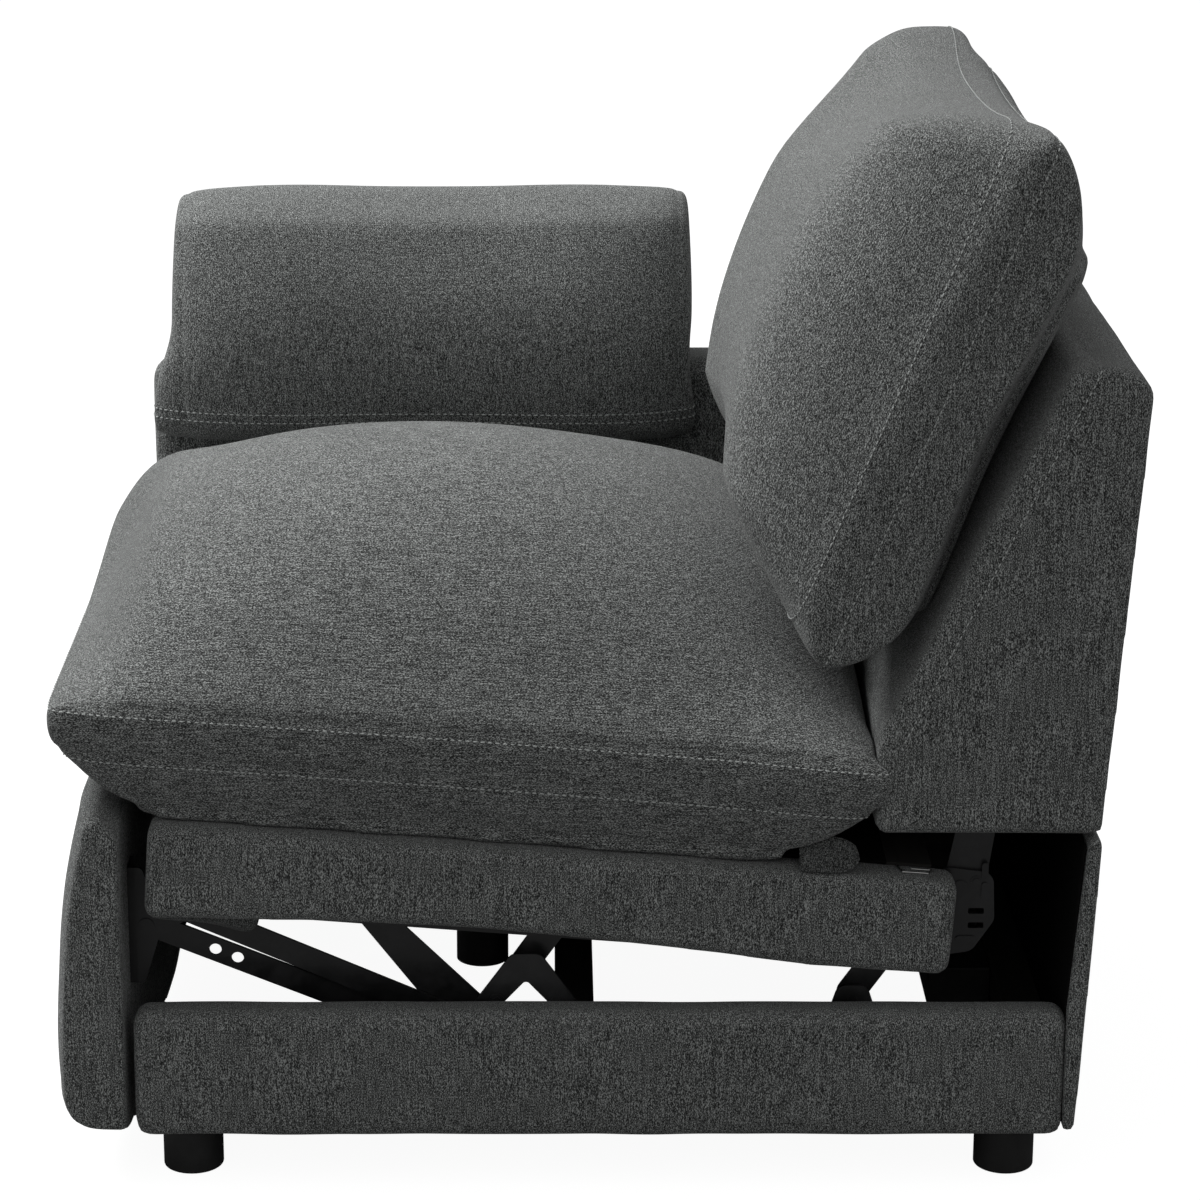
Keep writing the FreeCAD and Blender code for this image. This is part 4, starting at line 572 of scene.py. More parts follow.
def filled(piece, held, spare, cap):
    """Blow a piece up with the cloth solver, and cap each point's travel."""
    start = points_of(piece.data)
    pinned(piece, held)
    cloth = piece.modifiers.new("fill", "CLOTH")
    for key, value in CLOTH.items():
        setattr(cloth.settings, key, value)
    cloth.settings.shrink_min = -spare
    cloth.settings.effector_weights.gravity = 0
    cloth.collision_settings.use_collision = False
    cloth.point_cache.frame_start = 1
    cloth.point_cache.frame_end = FILL_FRAMES
    for step in range(1, FILL_FRAMES + 1):
        scene.frame_set(step)
    graph = bpy.context.evaluated_depsgraph_get()
    swollen = points_of(piece.evaluated_get(graph).data)
    piece.modifiers.clear()
    piece.vertex_groups.clear()
    scene.frame_set(1)
    travel = swollen - start
    far = np.linalg.norm(travel, axis=1)
    print(piece.name, "swells, in mm,", [round(float(size) / MM, 1) for size in (far.mean(), far.max())])
    travel *= np.minimum(1, cap / np.maximum(far, MERGE))[:, None]
    set_points(piece.data, start + spread(piece.data, travel))
    return piece


def drawn_in(piece, by, resting, from_seam):
    """Move the points inwards, but not those that rest on the frame or lie on a seam."""
    points = points_of(piece.data)
    step = np.where(resting, 0.0, by) * (1 - np.exp(-(from_seam / SEAM_REACH) ** 2))
    set_points(piece.data, points - normals_of(piece.data) * step[:, None])


def kept_behind(piece, point, normal):
    """Bring points that have crossed a plane back onto it."""
    points = points_of(piece.data)
    direction = np.array(Vector(normal).normalized())
    over = np.maximum(0, (points - np.array(point)) @ direction)
    set_points(piece.data, points - over[:, None] * direction)


def kept_off(piece, other, gap):
    """Push points that have sunk into another piece back to its surface."""
    tree = surface_of(other)
    points = points_of(piece.data)
    moved = 0
    for index, point in enumerate(points):
        near, normal, _, _ = tree.find_nearest(Vector(point), REACH)
        if near is not None and (Vector(point) - near).dot(normal) < gap:
            points[index] = near + normal * gap
            moved += 1
    set_points(piece.data, points)
    print(piece.name, "rests on", other.name, "at", moved, "points")


# %% [markdown]
# ## Seams
#
# A seam is where two panels meet: the cloth dips into it and a row of topstitch runs beside it. A plane
# through the cushion gives the seam its line, so the line follows the swollen form. Points near the plane
# sink a little, and the cut through the mesh gives the rows for the stitches.

# %% Grooves and seam lines


def groove(piece, point, normal, depth, width):
    """Sink the cloth along the line where a plane cuts a piece."""
    points = points_of(piece.data)
    direction = np.array(Vector(normal).normalized())
    away = (points - np.array(point)) @ direction
    sink = depth * np.exp(-(away / width) ** 2)
    set_points(piece.data, points - normals_of(piece.data) * sink[:, None])


def seam_lines(piece, point, normal):
    """The lines, as rows of points and normals, where a plane cuts a piece."""
    cut = bmesh.new()
    cut.from_mesh(piece.data)
    parts = cut.verts[:] + cut.edges[:] + cut.faces[:]
    found = bmesh.ops.bisect_plane(cut, geom=parts, plane_co=point, plane_no=normal)["geom_cut"]
    edges = [item for item in found if isinstance(item, bmesh.types.BMEdge)]
    left = set(edges)
    lines = []
    while left:
        edge = min(left, key=lambda item: item.index)
        left.discard(edge)
        line = list(edge.verts)
        for end in (0, -1):
            while True:
                ways = [item for item in line[end].link_edges if item in left]
                if not ways:
                    break
                left.discard(ways[0])
                follow = ways[0].other_vert(line[end])
                line.insert(0 if end == 0 else len(line), follow)
        lines.append([(vertex.co.copy(), vertex.normal.copy()) for vertex in line])
    cut.free()
    return lines


def only(lines, wanted):
    """The stretches of lines whose points are wanted."""
    kept = []
    for line in lines:
        run = []
        for spot in line:
            if wanted(spot[0]):
                run.append(spot)
            elif len(run) > 1:
                kept.append(run)
                run = []
            else:
                run = []
        if len(run) > 1:
            kept.append(run)
    return kept


# %% Topstitch as a node tree


def socket_of(tree, name, kind, value=None):
    socket = tree.interface.new_socket(name, in_out="INPUT", socket_type=kind)
    if value is not None:
        socket.default_value = value
    return socket


def stitch_tree():
    """Thread laid at even steps along lines, each stitch a little different in length."""
    tree = bpy.data.node_groups.new("topstitch", "GeometryNodeTree")
    socket_of(tree, "Lines", "NodeSocketGeometry")
    socket_of(tree, "Pitch", "NodeSocketFloat", 6.5 * MM)
    socket_of(tree, "Length", "NodeSocketFloat", 4.2 * MM)
    socket_of(tree, "Radius", "NodeSocketFloat", 0.7 * MM)
    socket_of(tree, "Seed", "NodeSocketInt", 7)
    socket_of(tree, "Thread", "NodeSocketMaterial")
    tree.interface.new_socket("Stitches", in_out="OUTPUT", socket_type="NodeSocketGeometry")
    given = tree.nodes.new("NodeGroupInput").outputs
    curve = tree.nodes.new("GeometryNodeMeshToCurve")
    dots = tree.nodes.new("GeometryNodeCurveToPoints")
    dots.mode = "LENGTH"
    ball = tree.nodes.new("GeometryNodeMeshUVSphere")
    ball.inputs["Segments"].default_value = 6
    ball.inputs["Rings"].default_value = 4
    ball.inputs["Radius"].default_value = 0.5
    size = tree.nodes.new("ShaderNodeCombineXYZ")
    thick = tree.nodes.new("ShaderNodeMath")
    thick.operation = "MULTIPLY"
    thick.inputs[1].default_value = 2.0
    shape = tree.nodes.new("GeometryNodeTransform")
    aim = tree.nodes.new("FunctionNodeAlignRotationToVector")
    aim.axis = "X"
    vary = tree.nodes.new("FunctionNodeRandomValue")
    vary.inputs[2].default_value = 0.88
    vary.inputs[3].default_value = 1.08
    place = tree.nodes.new("GeometryNodeInstanceOnPoints")
    real = tree.nodes.new("GeometryNodeRealizeInstances")
    paint = tree.nodes.new("GeometryNodeSetMaterial")
    result = tree.nodes.new("NodeGroupOutput")
    link = tree.links.new
    link(given["Lines"], curve.inputs["Mesh"])
    link(curve.outputs["Curve"], dots.inputs["Curve"])
    link(given["Pitch"], dots.inputs["Length"])
    link(given["Radius"], thick.inputs[0])
    link(given["Length"], size.inputs["X"])
    link(thick.outputs[0], size.inputs["Y"])
    link(thick.outputs[0], size.inputs["Z"])
    link(ball.outputs["Mesh"], shape.inputs["Geometry"])
    link(size.outputs["Vector"], shape.inputs["Scale"])
    link(dots.outputs["Tangent"], aim.inputs["Vector"])
    link(given["Seed"], vary.inputs["Seed"])
    link(dots.outputs["Points"], place.inputs["Points"])
    link(shape.outputs["Geometry"], place.inputs["Instance"])
    link(aim.outputs["Rotation"], place.inputs["Rotation"])
    link(vary.outputs[1], place.inputs["Scale"])
    link(place.outputs["Instances"], real.inputs["Geometry"])
    link(real.outputs["Geometry"], paint.inputs["Geometry"])
    link(given["Thread"], paint.inputs["Material"])
    link(paint.outputs["Geometry"], result.inputs["Stitches"])
    return tree


topstitch = stitch_tree()


def line_mesh(name, lines, lift):
    """Lines of points and normals as a mesh of edges, lifted off the cloth."""
    mesh = bpy.data.meshes.new(name)
    spots = []
    edges = []
    for line in lines:
        first = len(spots)
        spots.extend(tuple(point + normal * lift) for point, normal in line)
        edges.extend((first + index, first + index + 1) for index in range(len(line) - 1))
    mesh.from_pydata(spots, edges, [])
    return mesh


def set_inputs(modifier, tree, **values):
    for item in tree.interface.items_tree:
        if item.in_out == "INPUT" and item.name in values:
            modifier[item.identifier] = values[item.name]


def stitched(name, body, lines, lift=0.5 * MM, **sizes):
    """Rows of stitches on one body, as a plain mesh."""
    piece = new_piece(name, line_mesh(name, lines, lift))
    modifier = piece.modifiers.new("stitches", "NODES")
    modifier.node_group = topstitch
    set_inputs(modifier, topstitch, Thread=thread, **sizes)
    applied(piece)
    smooth_shaded(piece)
    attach(piece, body)
    print(name, len(lines), "rows", len(piece.data.polygons), "faces")
    return piece


# %% [markdown]
# ## The seat cushion
#
# It is the plumpest piece: a crowned top panel, a boxing strip round the edge with a row of topstitch above
# and below, and a flat underside on the seat. The dip of the seat to the rear gives its own level, in which
# seam heights are even all round.

# %% Fill the seat cushion
SOFT_VOXEL = 7.5 * MM
SOFT_ROUNDS = 2
SEAT_INSET = 7 * MM
SEAT_CAP = 9 * MM
SEAT_UP = (0, math.sin(SEAT_DIP), math.cos(SEAT_DIP))
TOP_SEAM = 106 * MM
LOW_SEAM = 62 * MM
SEAM_HOLD = 5 * MM
SEAM_DEPTH = 1.3 * MM
SEAM_WIDTH = 4 * MM
ARM_GAP = 1.5 * MM

# How far each form goes, then where it lies: a start and a reach, or the middle and width of a hill.
STITCH_DROP = 7 * MM
SEAT_SPARE = 0.008
NOSE = 10 * MM
NOSE_END = (0, 30 * MM)
NOSE_LEVEL = (-22 * MM, 50 * MM)
FRONT_SHARE = 0.3
FRONT_REACH = 75 * MM
NEAR_HALF = (-50 * MM, 150 * MM)
CREST = (-60 * MM, 140 * MM)
CREST_LEVEL = (-20 * MM, 40 * MM)
CREST_LIFT = 7 * MM
FRONT_PLUMP = 20 * MM
FRONT_END = (40 * MM, 50 * MM)
REAR_PLUMP = 18 * MM
REAR_END = (100 * MM, 120 * MM)
CORNER_OUT = 11 * MM
CORNER_BACK = 19 * MM
CORNER_SIDE = (340 * MM, 80 * MM)
CORNER_REAR = (120 * MM, 120 * MM)
CORNER_LEVEL = (-30 * MM, 70 * MM)


def seat_form(points):
    """Bring the front edge forward, curve the crown up from it, plump the crest and the near rear corner."""
    behind = points[:, 1] - points[:, 1].min()
    ahead = points[:, 1].max() - points[:, 1]
    over = points @ np.array(SEAT_UP) - seat_floor - TOP_SEAM
    share = FRONT_SHARE + (1 - FRONT_SHARE) * eased(behind / FRONT_REACH)
    rise = np.maximum(over, 0) * (share - 1) * after(points[:, 0], *NEAR_HALF)
    plump = CREST_LIFT + FRONT_PLUMP * bump(behind, *FRONT_END) + REAR_PLUMP * bump(ahead, *REAR_END)
    rise += plump * bump(points[:, 0], *CREST) * after(over, *CREST_LEVEL)
    points += np.outer(rise, SEAT_UP)
    points[:, 1] -= NOSE * bump(behind, *NOSE_END) * bump(over, *NOSE_LEVEL)
    corner = after(points[:, 0], *CORNER_SIDE) * after(points[:, 1], *CORNER_REAR)
    corner *= bump(over, *CORNER_LEVEL)
    points[:, 0] += CORNER_OUT * corner
    points[:, 1] += CORNER_BACK * corner
    return points


seat_pad = remeshed(copy_of("seat_pad", ("seat_cushion",)), SOFT_VOXEL, SOFT_ROUNDS)
height = points_of(seat_pad.data) @ np.array(SEAT_UP)
seat_floor = height.min()
height = height - seat_floor
resting = height < RESTING
from_seam = np.abs(height - TOP_SEAM)
drawn_in(seat_pad, SEAT_INSET, resting, from_seam)
filled(seat_pad, resting | (from_seam < SEAM_HOLD), SEAT_SPARE, SEAT_CAP)
set_points(seat_pad.data, seat_form(points_of(seat_pad.data)))
kept_behind(seat_pad, np.array(SEAT_UP) * (seat_floor + FACE_GAP), -np.array(SEAT_UP))
kept_behind(seat_pad, (arm_face + ARM_GAP, 0, 0), (-1, 0, 0))
kept_off(seat_pad, back_cover, TOUCH_GAP)
subdivided(seat_pad)


def seat_level(up):
    """A point on the level this far above the underside of the seat cushion."""
    return np.array(SEAT_UP) * (seat_floor + up)


for level in (TOP_SEAM, LOW_SEAM):
    groove(seat_pad, seat_level(level), SEAT_UP, SEAM_DEPTH, SEAM_WIDTH)
dressed(seat_pad, "seat", ("seat_cushion",), seat_cloth)
seat_rows = []
for level in (TOP_SEAM, LOW_SEAM):
    seat_rows.extend(seam_lines(seat_pad, seat_level(level - STITCH_DROP), SEAT_UP))
stitched("seat_stitches", "seat", seat_rows)

# %% [markdown]
# ## The back cushion
#
# The back cushion leans on the back frame. A boxing strip runs round its edge between two rows of
# topstitch, and the front panel swells far forward.

# %% Fill the back cushion
BACK_OUT = np.array((0, -math.cos(BACK_LEAN), math.sin(BACK_LEAN)))
BACK_ALONG = np.array((0, math.sin(BACK_LEAN), math.cos(BACK_LEAN)))
BACK_INSET = 7 * MM
BACK_CAP = 8 * MM
BACK_SEAM_LOW = 72 * MM
BACK_SEAM_RISE = 0.055
ROW_GAP = 38 * MM

# Places across the back are along X; heights and depths are from the knee, along and out of the back.
KNEE = np.array((0, 0.250, 0.415))
BACK_SPARE = 0.009
EAR_HEIGHT = (380 * MM, 120 * MM)
FAR_EAR = 15 * MM
FAR_EAR_PLACE = (-150 * MM, 110 * MM)
FAR_EAR_DEPTH = (80 * MM, 50 * MM)
NEAR_EAR = 8 * MM
NEAR_EAR_PLACE = (400 * MM, 70 * MM)
EAR_CUT = 26 * MM
CUT_PLACE = (-50 * MM, 80 * MM)
CUT_DEPTH = (140 * MM, 70 * MM)
CUT_HEIGHT = (420 * MM, 70 * MM)
END_TUCK = 17 * MM
TUCK_PLACE = (270 * MM, 130 * MM)
TUCK_DEPTH = (150 * MM, 150 * MM)
TUCK_HEIGHT = (100 * MM, 200 * MM)
CORNER_DROP = 14 * MM
DROP_PLACE = (280 * MM, 100 * MM)
DROP_DEPTH = (90 * MM, 60 * MM)
DROP_HEIGHT = (100 * MM, 100 * MM)
SHOULDER_DROP = 17 * MM
SHOULDER_PLACE = (0, 200 * MM)
SHOULDER_DEPTH = (170 * MM, 50 * MM)
SHOULDER_HEIGHT = (340 * MM, 120 * MM)


def back_form(points):
    """Raise both ears, cut behind the far one, drop shoulder and near corner, tuck in the near rear edge."""
    x = points[:, 0]
    up = (points - KNEE) @ BACK_ALONG
    out = (points - KNEE) @ BACK_OUT
    lift = FAR_EAR * bump(x, *FAR_EAR_PLACE) * after(out, *FAR_EAR_DEPTH)
    lift += NEAR_EAR * bump(x, *NEAR_EAR_PLACE)
    lift *= after(up, *EAR_HEIGHT)
    lift -= EAR_CUT * before(x, *CUT_PLACE) * before(out, *CUT_DEPTH) * after(up, *CUT_HEIGHT)
    lift -= CORNER_DROP * after(x, *DROP_PLACE) * before(up, *DROP_HEIGHT) * bump(out, *DROP_DEPTH)
    pull = END_TUCK * after(x, *TUCK_PLACE) * before(out, *TUCK_DEPTH) * after(up, *TUCK_HEIGHT)
    shoulder = bump(x, *SHOULDER_PLACE) * after(up, *SHOULDER_HEIGHT) * after(out, *SHOULDER_DEPTH)
    pull -= SHOULDER_DROP * shoulder
    return points + np.outer(lift, BACK_ALONG) + np.outer(pull, BACK_OUT)


back_pad = remeshed(copy_of("back_pad", ("back_cushion",)), SOFT_VOXEL, SOFT_ROUNDS)
spots = points_of(back_pad.data)
back_floor = (spots @ BACK_OUT).min()
back_foot = (spots @ BACK_ALONG).min()
seam_normal = BACK_OUT - BACK_SEAM_RISE * BACK_ALONG
seam_normal /= np.linalg.norm(seam_normal)
seam_point = BACK_OUT * (back_floor + BACK_SEAM_LOW) + BACK_ALONG * back_foot
resting = (spots @ BACK_OUT) - back_floor < RESTING
from_seam = np.abs((spots - seam_point) @ seam_normal)
drawn_in(back_pad, BACK_INSET, resting, from_seam)
filled(back_pad, resting | (from_seam < SEAM_HOLD), BACK_SPARE, BACK_CAP)
set_points(back_pad.data, back_form(points_of(back_pad.data)))
kept_behind(back_pad, BACK_OUT * (back_floor + FACE_GAP), -BACK_OUT)
kept_off(back_pad, seat_pad, TOUCH_GAP)
subdivided(back_pad)
groove(back_pad, seam_point, seam_normal, SEAM_DEPTH, SEAM_WIDTH)
dressed(back_pad, "back", ("back_cushion",), back_cloth)
back_rows = []
for ahead in (0, ROW_GAP):
    back_rows.extend(seam_lines(back_pad, seam_point + seam_normal * ahead, seam_normal))
stitched("back_stitches", "back", back_rows)

# %% [markdown]
# ## The arm pillow
#
# A loose pillow lies over the arm and hangs a lip down its inner face. Its two ends are closed by small
# panels, and a double seam runs above the lip's hem.

# %% Fill the arm pillow
PILLOW_VOXEL = 5.5 * MM
PILLOW_ROUNDS = 16
PILLOW_INSET = 0.5 * MM
PILLOW_CAP = 5 * MM
END_SEAM = 13 * MM
HEM_SEAM = 20 * MM
HEM_GAP = 9 * MM


# Heights are from the lowest point of the pillow unless the name says arm or top.
PILLOW_SPARE = 0.008
ARM_SKIN = 5 * MM
LIP_SKIN = 4 * MM
PILLOW_FRONT = (-380 * MM, 140 * MM)
PILLOW_SHIFT = 8 * MM
SHIFT_HEIGHT = (50 * MM, 70 * MM)
PILLOW_FLARE = 12 * MM
FLARE_HEIGHT = (110 * MM, 90 * MM)
FLARE_POWER = 5
PILLOW_FACE = 8 * MM
FACE_HEIGHT = (70 * MM, 170 * MM)
TOP_REACH = 90 * MM
PILLOW_FALL = 42 * MM
FALL_HINGE = 0.9
PILLOW_EARS = 12 * MM
EAR_POWER = 6
PILLOW_LIP = 8 * MM
LIP_REACH = 60 * MM
LIP_DEPTH = 10 * MM
ARM_REACH = 90 * MM


def past_arm(point):
    return point.x > arm_face + LIP_SKIN


pillow = remeshed(copy_of("pillow", ("arm_pillow",)), PILLOW_VOXEL, PILLOW_ROUNDS)
spots = points_of(pillow.data)
pillow_low, pillow_high = spots.min(0), spots.max(0)
over_arm = (spots[:, 2] < arm_top + ARM_SKIN) & (spots[:, 0] < arm_face + ARM_SKIN)
front_seam = pillow_low[1] + END_SEAM
rear_seam = pillow_high[1] - END_SEAM
from_seam = np.minimum(np.abs(spots[:, 1] - front_seam), np.abs(spots[:, 1] - rear_seam))
drawn_in(pillow, PILLOW_INSET, over_arm, from_seam)
filled(pillow, over_arm | (from_seam < SEAM_HOLD), PILLOW_SPARE, PILLOW_CAP)
spots = points_of(pillow.data)
height = spots[:, 2] - pillow_low[2]
spots[:, 1] += PILLOW_SHIFT * after(height, *SHIFT_HEIGHT)
from_middle = 2 * (spots[:, 1] - pillow_low[1]) / (pillow_high[1] - pillow_low[1]) - 1
spots[:, 1] += PILLOW_FLARE * before(height, *FLARE_HEIGHT) * from_middle ** FLARE_POWER
forward = after(spots[:, 0], *PILLOW_FRONT)
spots[:, 0] -= PILLOW_FACE * after(height, *FACE_HEIGHT) * forward
topmost = after(spots[:, 2], pillow_high[2] - TOP_REACH, TOP_REACH)
spots[:, 2] += topmost * (PILLOW_FALL * (forward - FALL_HINGE) + PILLOW_EARS * from_middle ** EAR_POWER)
spots[:, 2] -= PILLOW_LIP * before(spots[:, 2], arm_top, LIP_REACH) * after(spots[:, 0], arm_face, LIP_DEPTH)
spots[:, 2] -= arm_slope(spots[:, 0]) * (1 - after(spots[:, 2], arm_top, ARM_REACH))
set_points(pillow.data, spots)
front_seam += PILLOW_SHIFT
rear_seam += PILLOW_SHIFT
subdivided(pillow)
for place in (front_seam, rear_seam):
    groove(pillow, (0, place, 0), (0, 1, 0), SEAM_DEPTH, SEAM_WIDTH)
dressed(pillow, "base", ("arm_pillow",), upright_cloth)
pillow_rows = []
for lift in (0, HEM_GAP):
    level = Vector((0, 0, pillow_low[2] + HEM_SEAM + lift))
    pillow_rows.extend(only(seam_lines(pillow, level, Vector((0, 0, 1))), past_arm))
stitched("pillow_stitches", "base", pillow_rows)

# %% [markdown]
# ## The footrest pad
#
# The footrest is a board under firm foam, so its pad swells only a few millimetres.

# %% Fill the footrest pad
FOOT_INSET = 0.5 * MM
FOOT_FILL = 5 * MM
FOOT_DROP = 4 * MM
FOOT_CAP = 2 * MM
FOOT_LOW = (200 * MM, 120 * MM)
FOOT_HEM = (80 * MM, 30 * MM)
FOOT_DEPTH = 30 * MM
FOOT_HELD = 4 * MM
LEAST_FILL, MORE_FILL = 0.6, 0.8
FOOT_NODES = ("footrest_pad", "footrest_board")
foot_pad = remeshed(copy_of("foot_pad", FOOT_NODES), COVER_VOXEL, COVER_ROUNDS)
spots = points_of(foot_pad.data)
board_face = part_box("footrest_board")[0].y
low_share = before(spots[:, 2], *FOOT_LOW)
spots[:, 1] -= FOOT_FILL * before(spots[:, 1], board_face, FOOT_DEPTH) * (LEAST_FILL + MORE_FILL * low_share)
spots[:, 2] -= FOOT_DROP * before(spots[:, 2], *FOOT_HEM)
set_points(foot_pad.data, spots)
resting = spots[:, 1] > board_face - FOOT_HELD
drawn_in(foot_pad, FOOT_INSET, resting, board_face - spots[:, 1])
filled(foot_pad, resting, 0.0, FOOT_CAP)
hem_squared(foot_pad)
dressed(foot_pad, "footrest", FOOT_NODES, upright_cloth)

# %% [markdown]
# ## Seams on the back frame
#
# The side panels of the back are closed by a seam close to the rear edge, and by a topstitched one a
# finger's width behind the leaning front edge.

# %% Stitch the edges of the wings
REAR_MARGIN = 5 * MM
FRONT_MARGIN = 15 * MM
WING_STITCH = 5 * MM
OUTER_SKIN = 4 * MM
WING_GROOVE = (1.2 * MM, 3 * MM)
far_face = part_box("back_wing_far")[0].x


def on_side(point):
    near = point.x > wing_high.x - OUTER_SKIN
    far = point.x < far_face + OUTER_SKIN
    return (near or far) and point.z > wing_low.z + OUTER_SKIN


def above_knee(point):
    return on_side(point) and point.z > KNEE[2]


rear_seam_point = edge_point + edge_out * (REAR_FILL - REAR_MARGIN)
front_seam_point = KNEE - BACK_OUT * FRONT_MARGIN
groove(back_cover, rear_seam_point, edge_out, *WING_GROOVE)
groove(back_cover, front_seam_point, BACK_OUT, *WING_GROOVE)
wing_rows = only(seam_lines(back_cover, front_seam_point - BACK_OUT * WING_STITCH, BACK_OUT), above_knee)
stitched("wing_stitches", "back", wing_rows)

# %% [markdown]
# ## Loose cloth
#
# Black non-woven cloth is stretched over the inner side of the rear panel. A flap of spare cover sags under
# the front of the seat rail, and a rounded tab hangs between the rising rear end of the seat cushion and the
# rail. Each is a sheet laid on the surface that holds it, found by casting rays at that surface.

# %% Sheets of cloth
SHEET_THICK = 1.0 * MM
SHEET_LIFT = 0.8 * MM
LINING_MARGIN = 7 * MM


def grid_sheet(name, rows, columns, spot):
    """A sheet whose points come from spot(row share, column share)."""
    sheet = bmesh.new()
    net = [[sheet.verts.new(spot(row / rows, column / columns)) for column in range(columns + 1)]
           for row in range(rows + 1)]
    for row in range(rows):
        for column in range(columns):
            ring = ((0, 0), (0, 1), (1, 1), (1, 0))
            sheet.faces.new([net[row + down][column + along] for down, along in ring])
    mesh = bpy.data.meshes.new(name)
    sheet.to_mesh(mesh)
    sheet.free()
    piece = new_piece(name, mesh)
    thick = piece.modifiers.new("thick", "SOLIDIFY")
    thick.thickness = SHEET_THICK
    thick.offset = 0
    return smooth_shaded(applied(piece))


panel = surface_of(frame["nodes"]["rear_panel"])
lining_size = tuple(panel_high[axis] - panel_low[axis] - 2 * LINING_MARGIN for axis in (0, 2))


def lining_spot(up, across):
    x = panel_low.x + LINING_MARGIN + lining_size[0] * across
    z = panel_low.z + LINING_MARGIN + lining_size[1] * up
    hit = panel.ray_cast(Vector((x, panel_low.y - REACH, z)), Vector((0, 1, 0)))[0]
    return hit - Vector((0, SHEET_LIFT, 0))


rear_lining = grid_sheet("rear_lining", 24, 60, lining_spot)
rear_lining.data.materials.append(finishes["deck_cloth"])
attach(rear_lining, "base")
print("rear lining", [round(length, 3) for length in lining_size])

# %% The flap under the seat rail and the tab under the cushion
rail = surface_of(seat_rail_cover)
pad_side = surface_of(seat_pad)
FLAP_START = rail_low.y + 4 * MM
FLAP_LENGTH = 96 * MM
FLAP_DROP = 18 * MM
TAB_START = 0.184
TAB_LENGTH = 52 * MM
TAB_DROP = 30 * MM
TAB_SET_BACK = 16 * MM
FLAP_INSET = 9 * MM
FLAP_CURL = 14 * MM
FLAP_RIPPLE = 2 * MM
FLAP_RIPPLES = 9
FLAP_TUCK = 2 * MM
TAB_REACH = 0.8


def flap_spot(down, across):
    """A point of the flap, which sags from the lower edge of the rail, most near its rear end."""
    y = FLAP_START + FLAP_LENGTH * across
    x = rail_high.x - FLAP_INSET - FLAP_CURL * down * down + FLAP_RIPPLE * math.sin(FLAP_RIPPLES * across)
    under = rail.ray_cast(Vector((x, y, rail_low.z - REACH)), Vector((0, 0, 1)))[0]
    corner = math.sqrt(max(0.0, 1 - max(0.0, 6 * across - 5) ** 2))
    sag = FLAP_DROP * (0.2 + 0.8 * across ** 1.3) * corner
    return Vector((x, y, under.z + FLAP_TUCK - (sag + FLAP_TUCK + SHEET_LIFT) * down))


def tab_spot(down, across):
    """A point of the tab, which hangs from the cushion to the rail and has one rounded corner."""
    y = TAB_START + TAB_LENGTH * across
    x = rail_high.x - TAB_SET_BACK * (1 - TAB_REACH * down)
    above = Vector((rail_high.x - TAB_SET_BACK, y, rail_high.z + REACH))
    level = rail.ray_cast(above, Vector((0, 0, -1)))[0].z
    under = pad_side.ray_cast(Vector((x, y, level - MM)), Vector((0, 0, 1)))[0]
    roof = level + TAB_DROP if under is None else min(under.z, level + TAB_DROP)
    corner = math.sqrt(max(0.0, 1 - max(0.0, 2.2 * across - 1.2) ** 2))
    middle = (roof + level + SHEET_LIFT) / 2
    return Vector((x, y, middle + (roof - middle) * corner * (1 - 2 * down)))


flap = grid_sheet("rail_flap", 10, 36, flap_spot)
tab = grid_sheet("cushion_tab", 10, 20, tab_spot)
# The flap and the tab wear the half-bright cover cloth, which is painted shade for the shadow under the seat
# cushion and the rail.
for piece in (flap, tab):
    piece.data.materials.append(painted_shade_cloth)
    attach(piece, "seat")
print("flap and tab", FLAP_LENGTH, FLAP_DROP, TAB_LENGTH, TAB_DROP)

# %% [markdown]
# ## Bolts
#
# Hexagon bolts hold the mechanism's plates. They are one small head on a washer, repeated where rays from the
# side meet a plate, so a node tree places them.

# %% Bolt heads as a node tree


